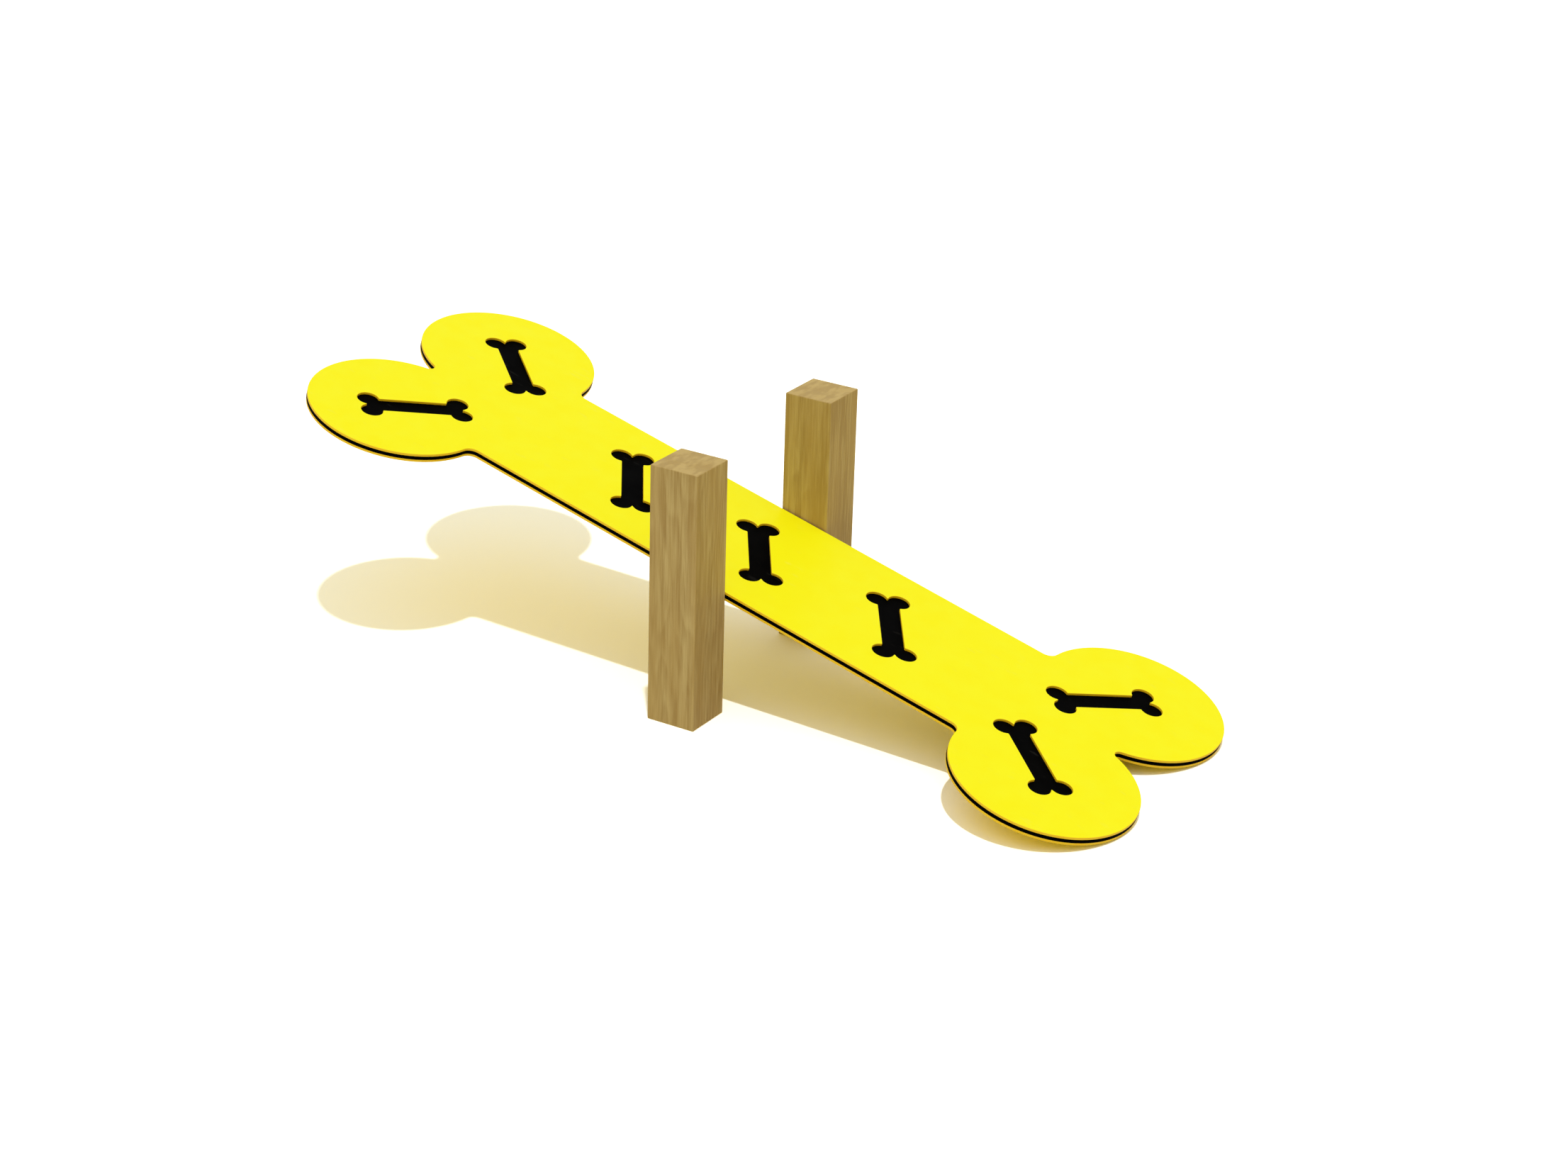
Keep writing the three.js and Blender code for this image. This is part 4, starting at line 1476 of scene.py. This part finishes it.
def weld(master, number, x, y, z, turn):
    place = board_place @ shift(x, y, z) @ turn
    put(master, f"weld_{number}", place, "board", "galvanised_steel", [galvanised_steel])


side_bead = bead(side_bead_length)
lower_bead = bead(lower_bead_length)
number = 0
for end in (-rail_half, rail_half):
    for v in (-rail_offset, rail_offset):
        for side in (-rail_side / 2, rail_side / 2):
            number += 1
            weld(side_bead, number, end, v + side, 0, Matrix.Identity(4))
        number += 1
        weld(lower_bead, number, end, v, -rail_side / 2, z_to_minus_y)
discard(side_bead, lower_bead)
print("weld beads:", number)

# %% [markdown]
# ## Pivot
#
# The axle is a plain steel bar with chamfered ends. It turns with the board in two flanged bushes,
# and each bush sits in the closed socket of a pivot plate. Spacer tubes and washers keep the board
# midway between the posts. The axle has two shallow holes from below, where the lock bolts bite.

# %% Axle, spacers and washers
axle_in_post = 0.046
axle_half = post_gap / 2 + axle_in_post
axle_chamfer = 0.001
lock_hole_top = -0.0037
z_to_plus_y = Matrix.Rotation(-math.pi / 2, 4, "X")
bearing_bore = axle_radius + seat_gap
spacer_radius = 0.014
spacer_edge = 0.0003
washer_edge = 0.0005
washer_thickness = 0.0025
washer_play = 0.0005
washer_outer = post_gap / 2 - washer_play
washer_inner = washer_outer - washer_thickness
spacer_inner = rail_offset + rail_side / 2 + seat_gap


def axle():
    end_radius, shoulder = axle_radius - axle_chamfer, axle_half - axle_chamfer
    profile = [(0, -axle_half), (end_radius, -axle_half), (axle_radius, -shoulder)]
    profile += [(axle_radius, shoulder), (end_radius, axle_half), (0, axle_half)]
    piece = at(turned(profile, bearing_steps), z_to_plus_y)
    lock_holes = (0, -rail_offset), (0, rail_offset)
    return smooth(drilled(piece, bore_radius, -2 * axle_radius, lock_hole_top, *lock_holes))


def collar(low, high, edge):
    inner, outer = bearing_bore, spacer_radius
    profile = [(inner, low), (outer, low), (outer, high), (inner, high), (inner, low)]
    return smooth(at(soften(turned(profile, bearing_steps), edge, 2), z_to_plus_y))


master = axle()
stand_in(master, "axle", board_place, "board", "axle_steel")
spacer = collar(spacer_inner, washer_inner - seat_gap, spacer_edge)
washer = collar(washer_inner, washer_outer, washer_edge)
for side, turn in side_turns.items():
    place = board_place @ turn
    stand_in(spacer, side + "_spacer_tube", place, "board", "galvanised_steel")
    stand_in(washer, side + "_thrust_washer", place, "board", "bearing_plastic")
discard(master, spacer, washer)
print("axle", round(2000 * axle_half, 1), "mm long")

# %% [markdown]
# A steel axle in a steel socket would wear and squeak outdoors, so a bush of slippery plastic lines
# each socket. Its flange keeps the washer off the steel. The section of a flanged bush is an L, and
# turning it makes the whole piece.

# %% Bushes
bush_length = 0.048
bush_bore = 0.0102
bush_radius = 0.0142
bush_edge = 0.0004
flange_radius = 0.018
flange_thickness = 0.003


def bush():
    profile = [(bush_bore, 0), (flange_radius, 0), (flange_radius, flange_thickness)]
    profile += [(bush_radius, flange_thickness), (bush_radius, bush_length)]
    profile += [(bush_bore, bush_length), (bush_bore, 0)]
    return smooth(soften(turned(profile, bearing_steps), bush_edge, 2))


master = bush()
for side, place in post_places.items():
    stand_in(master, side + "_axle_bush", place @ at_axle, "posts", "bearing_plastic")
discard(master)
print("bushes", round(1000 * bush_length), "mm long")

# %% [markdown]
# A pivot plate is a flat plate with round corners. A closed tube is welded to its back, and it is
# drilled and countersunk for four screws. The parts are joined first, and then everything that is a
# hole is cut.

# %% Pivot plates
def pivot_plate():
    piece = plate(0, plate_thickness, 0)
    combine(piece, at(bar(socket_radius, 0, socket_depth), at_axle), "UNION")
    for radius, depth in ((bush_radius, bush_length), (flange_radius, flange_thickness)):
        bore = bar(radius + seat_gap, -overrun, depth + seat_gap)
        combine(piece, at(bore, at_axle), "DIFFERENCE")
    for spot in plate_screw_places:
        combine(piece, at(wood_screw_bore(), spot), "DIFFERENCE")
    return smooth(piece)


master = pivot_plate()
for side, place in post_places.items():
    stand_in(master, side + "_pivot_plate", place, "posts", "galvanised_steel")
print("pivot plate:", len(master.data.polygons), "faces")
discard(master)

# %% [markdown]
# ## Feet
#
# A foot plate is let in flush in the bottom of each post. Its boss has a threaded blind hole for a
# ground anchor.

# %% Foot plates
anchor_radius = 0.007
anchor_depth = 0.036
anchor_mouth = 0.0082
anchor_mouth_depth = 0.0008
anchor_crest = 0.0079
anchor_thread = {"depth": 0.0009, "pitch": 0.002, "start": 0.0016}
anchor_steps = 40


def foot_plate():
    piece = foot(0, foot_thickness, 0)
    combine(piece, at(bar(boss_radius, 0, boss_height), under_middle), "UNION")
    profile = [(0, -overrun), (anchor_mouth, -overrun), (anchor_mouth, anchor_mouth_depth)]
    profile += thread(anchor_crest, **anchor_thread, end=anchor_depth - run_out)
    profile += [(anchor_radius, anchor_depth), (0, anchor_depth)]
    combine(piece, at(turned(profile, anchor_steps), under_middle), "DIFFERENCE")
    for spot in foot_screw_places:
        combine(piece, at(wood_screw_bore(), spot), "DIFFERENCE")
    return smooth(piece)


master = foot_plate()
for side, place in post_places.items():
    stand_in(master, side + "_foot_plate", place, "posts", "galvanised_steel")
print("foot plate:", len(master.data.polygons), "faces")
discard(master)

# %% [markdown]
# ## Buffers
#
# A rubber buffer sits under each lobe and takes the knock on the ground. It is turned, with a
# recess for the head of its screw, and its rim is rounded. The screw has a round head with a
# six-sided socket.

# %% Buffers
buffer_radius = 0.025
buffer_height = 0.012
buffer_chamfer = 0.003
buffer_edge = 0.0009
buffer_steps = 72
buffer_reach = 0.840
buffer_top = board_underside - seat_gap
buffer_recess = 0.0075
button_head = 0.007
button_height = 0.005
button_crown = [(0.0042, -button_height), (0.0061, -0.0043), (button_head, -0.0024)]
button_socket = 0.0029
button_socket_depth = 0.0026
button_steps = 32
socket_overrun = 0.001
button_seat = buffer_top - buffer_height + buffer_recess - seat_gap


def buffer():
    inner, rim, outer = bore_radius, button_head + seat_gap, buffer_radius
    seat, bottom = buffer_recess - buffer_height, -buffer_height
    profile = [(inner, seat), (rim, seat), (rim, bottom), (outer - buffer_chamfer, bottom)]
    profile += [(outer, bottom + buffer_chamfer), (outer, 0), (inner, 0), (inner, seat)]
    return smooth(soften(turned(profile, buffer_steps), buffer_edge))


def button_screw(length):
    profile = [(0, -button_height)] + button_crown + [(button_head, 0)] + threaded_shank(length)
    top = -button_height
    socket = hexagon(button_socket, top - socket_overrun, top + button_socket_depth)
    return smooth(combine(turned(profile, button_steps), socket, "DIFFERENCE"))


master = buffer()
button = button_screw(screw_tip - button_seat)
for end, u in (("low", buffer_reach), ("high", -buffer_reach)):
    for side, v in (("near", -lobe_radius), ("far", lobe_radius)):
        label = f"{end}_{side}_buffer"
        on_board(master, label, u, v, buffer_top, "black_rubber")
        on_board(button, label + "_screw", u, v, button_seat, "stainless_fastener")
discard(master, button)
print("buffers stand", round(1000 * buffer_height), "mm under the lobes")
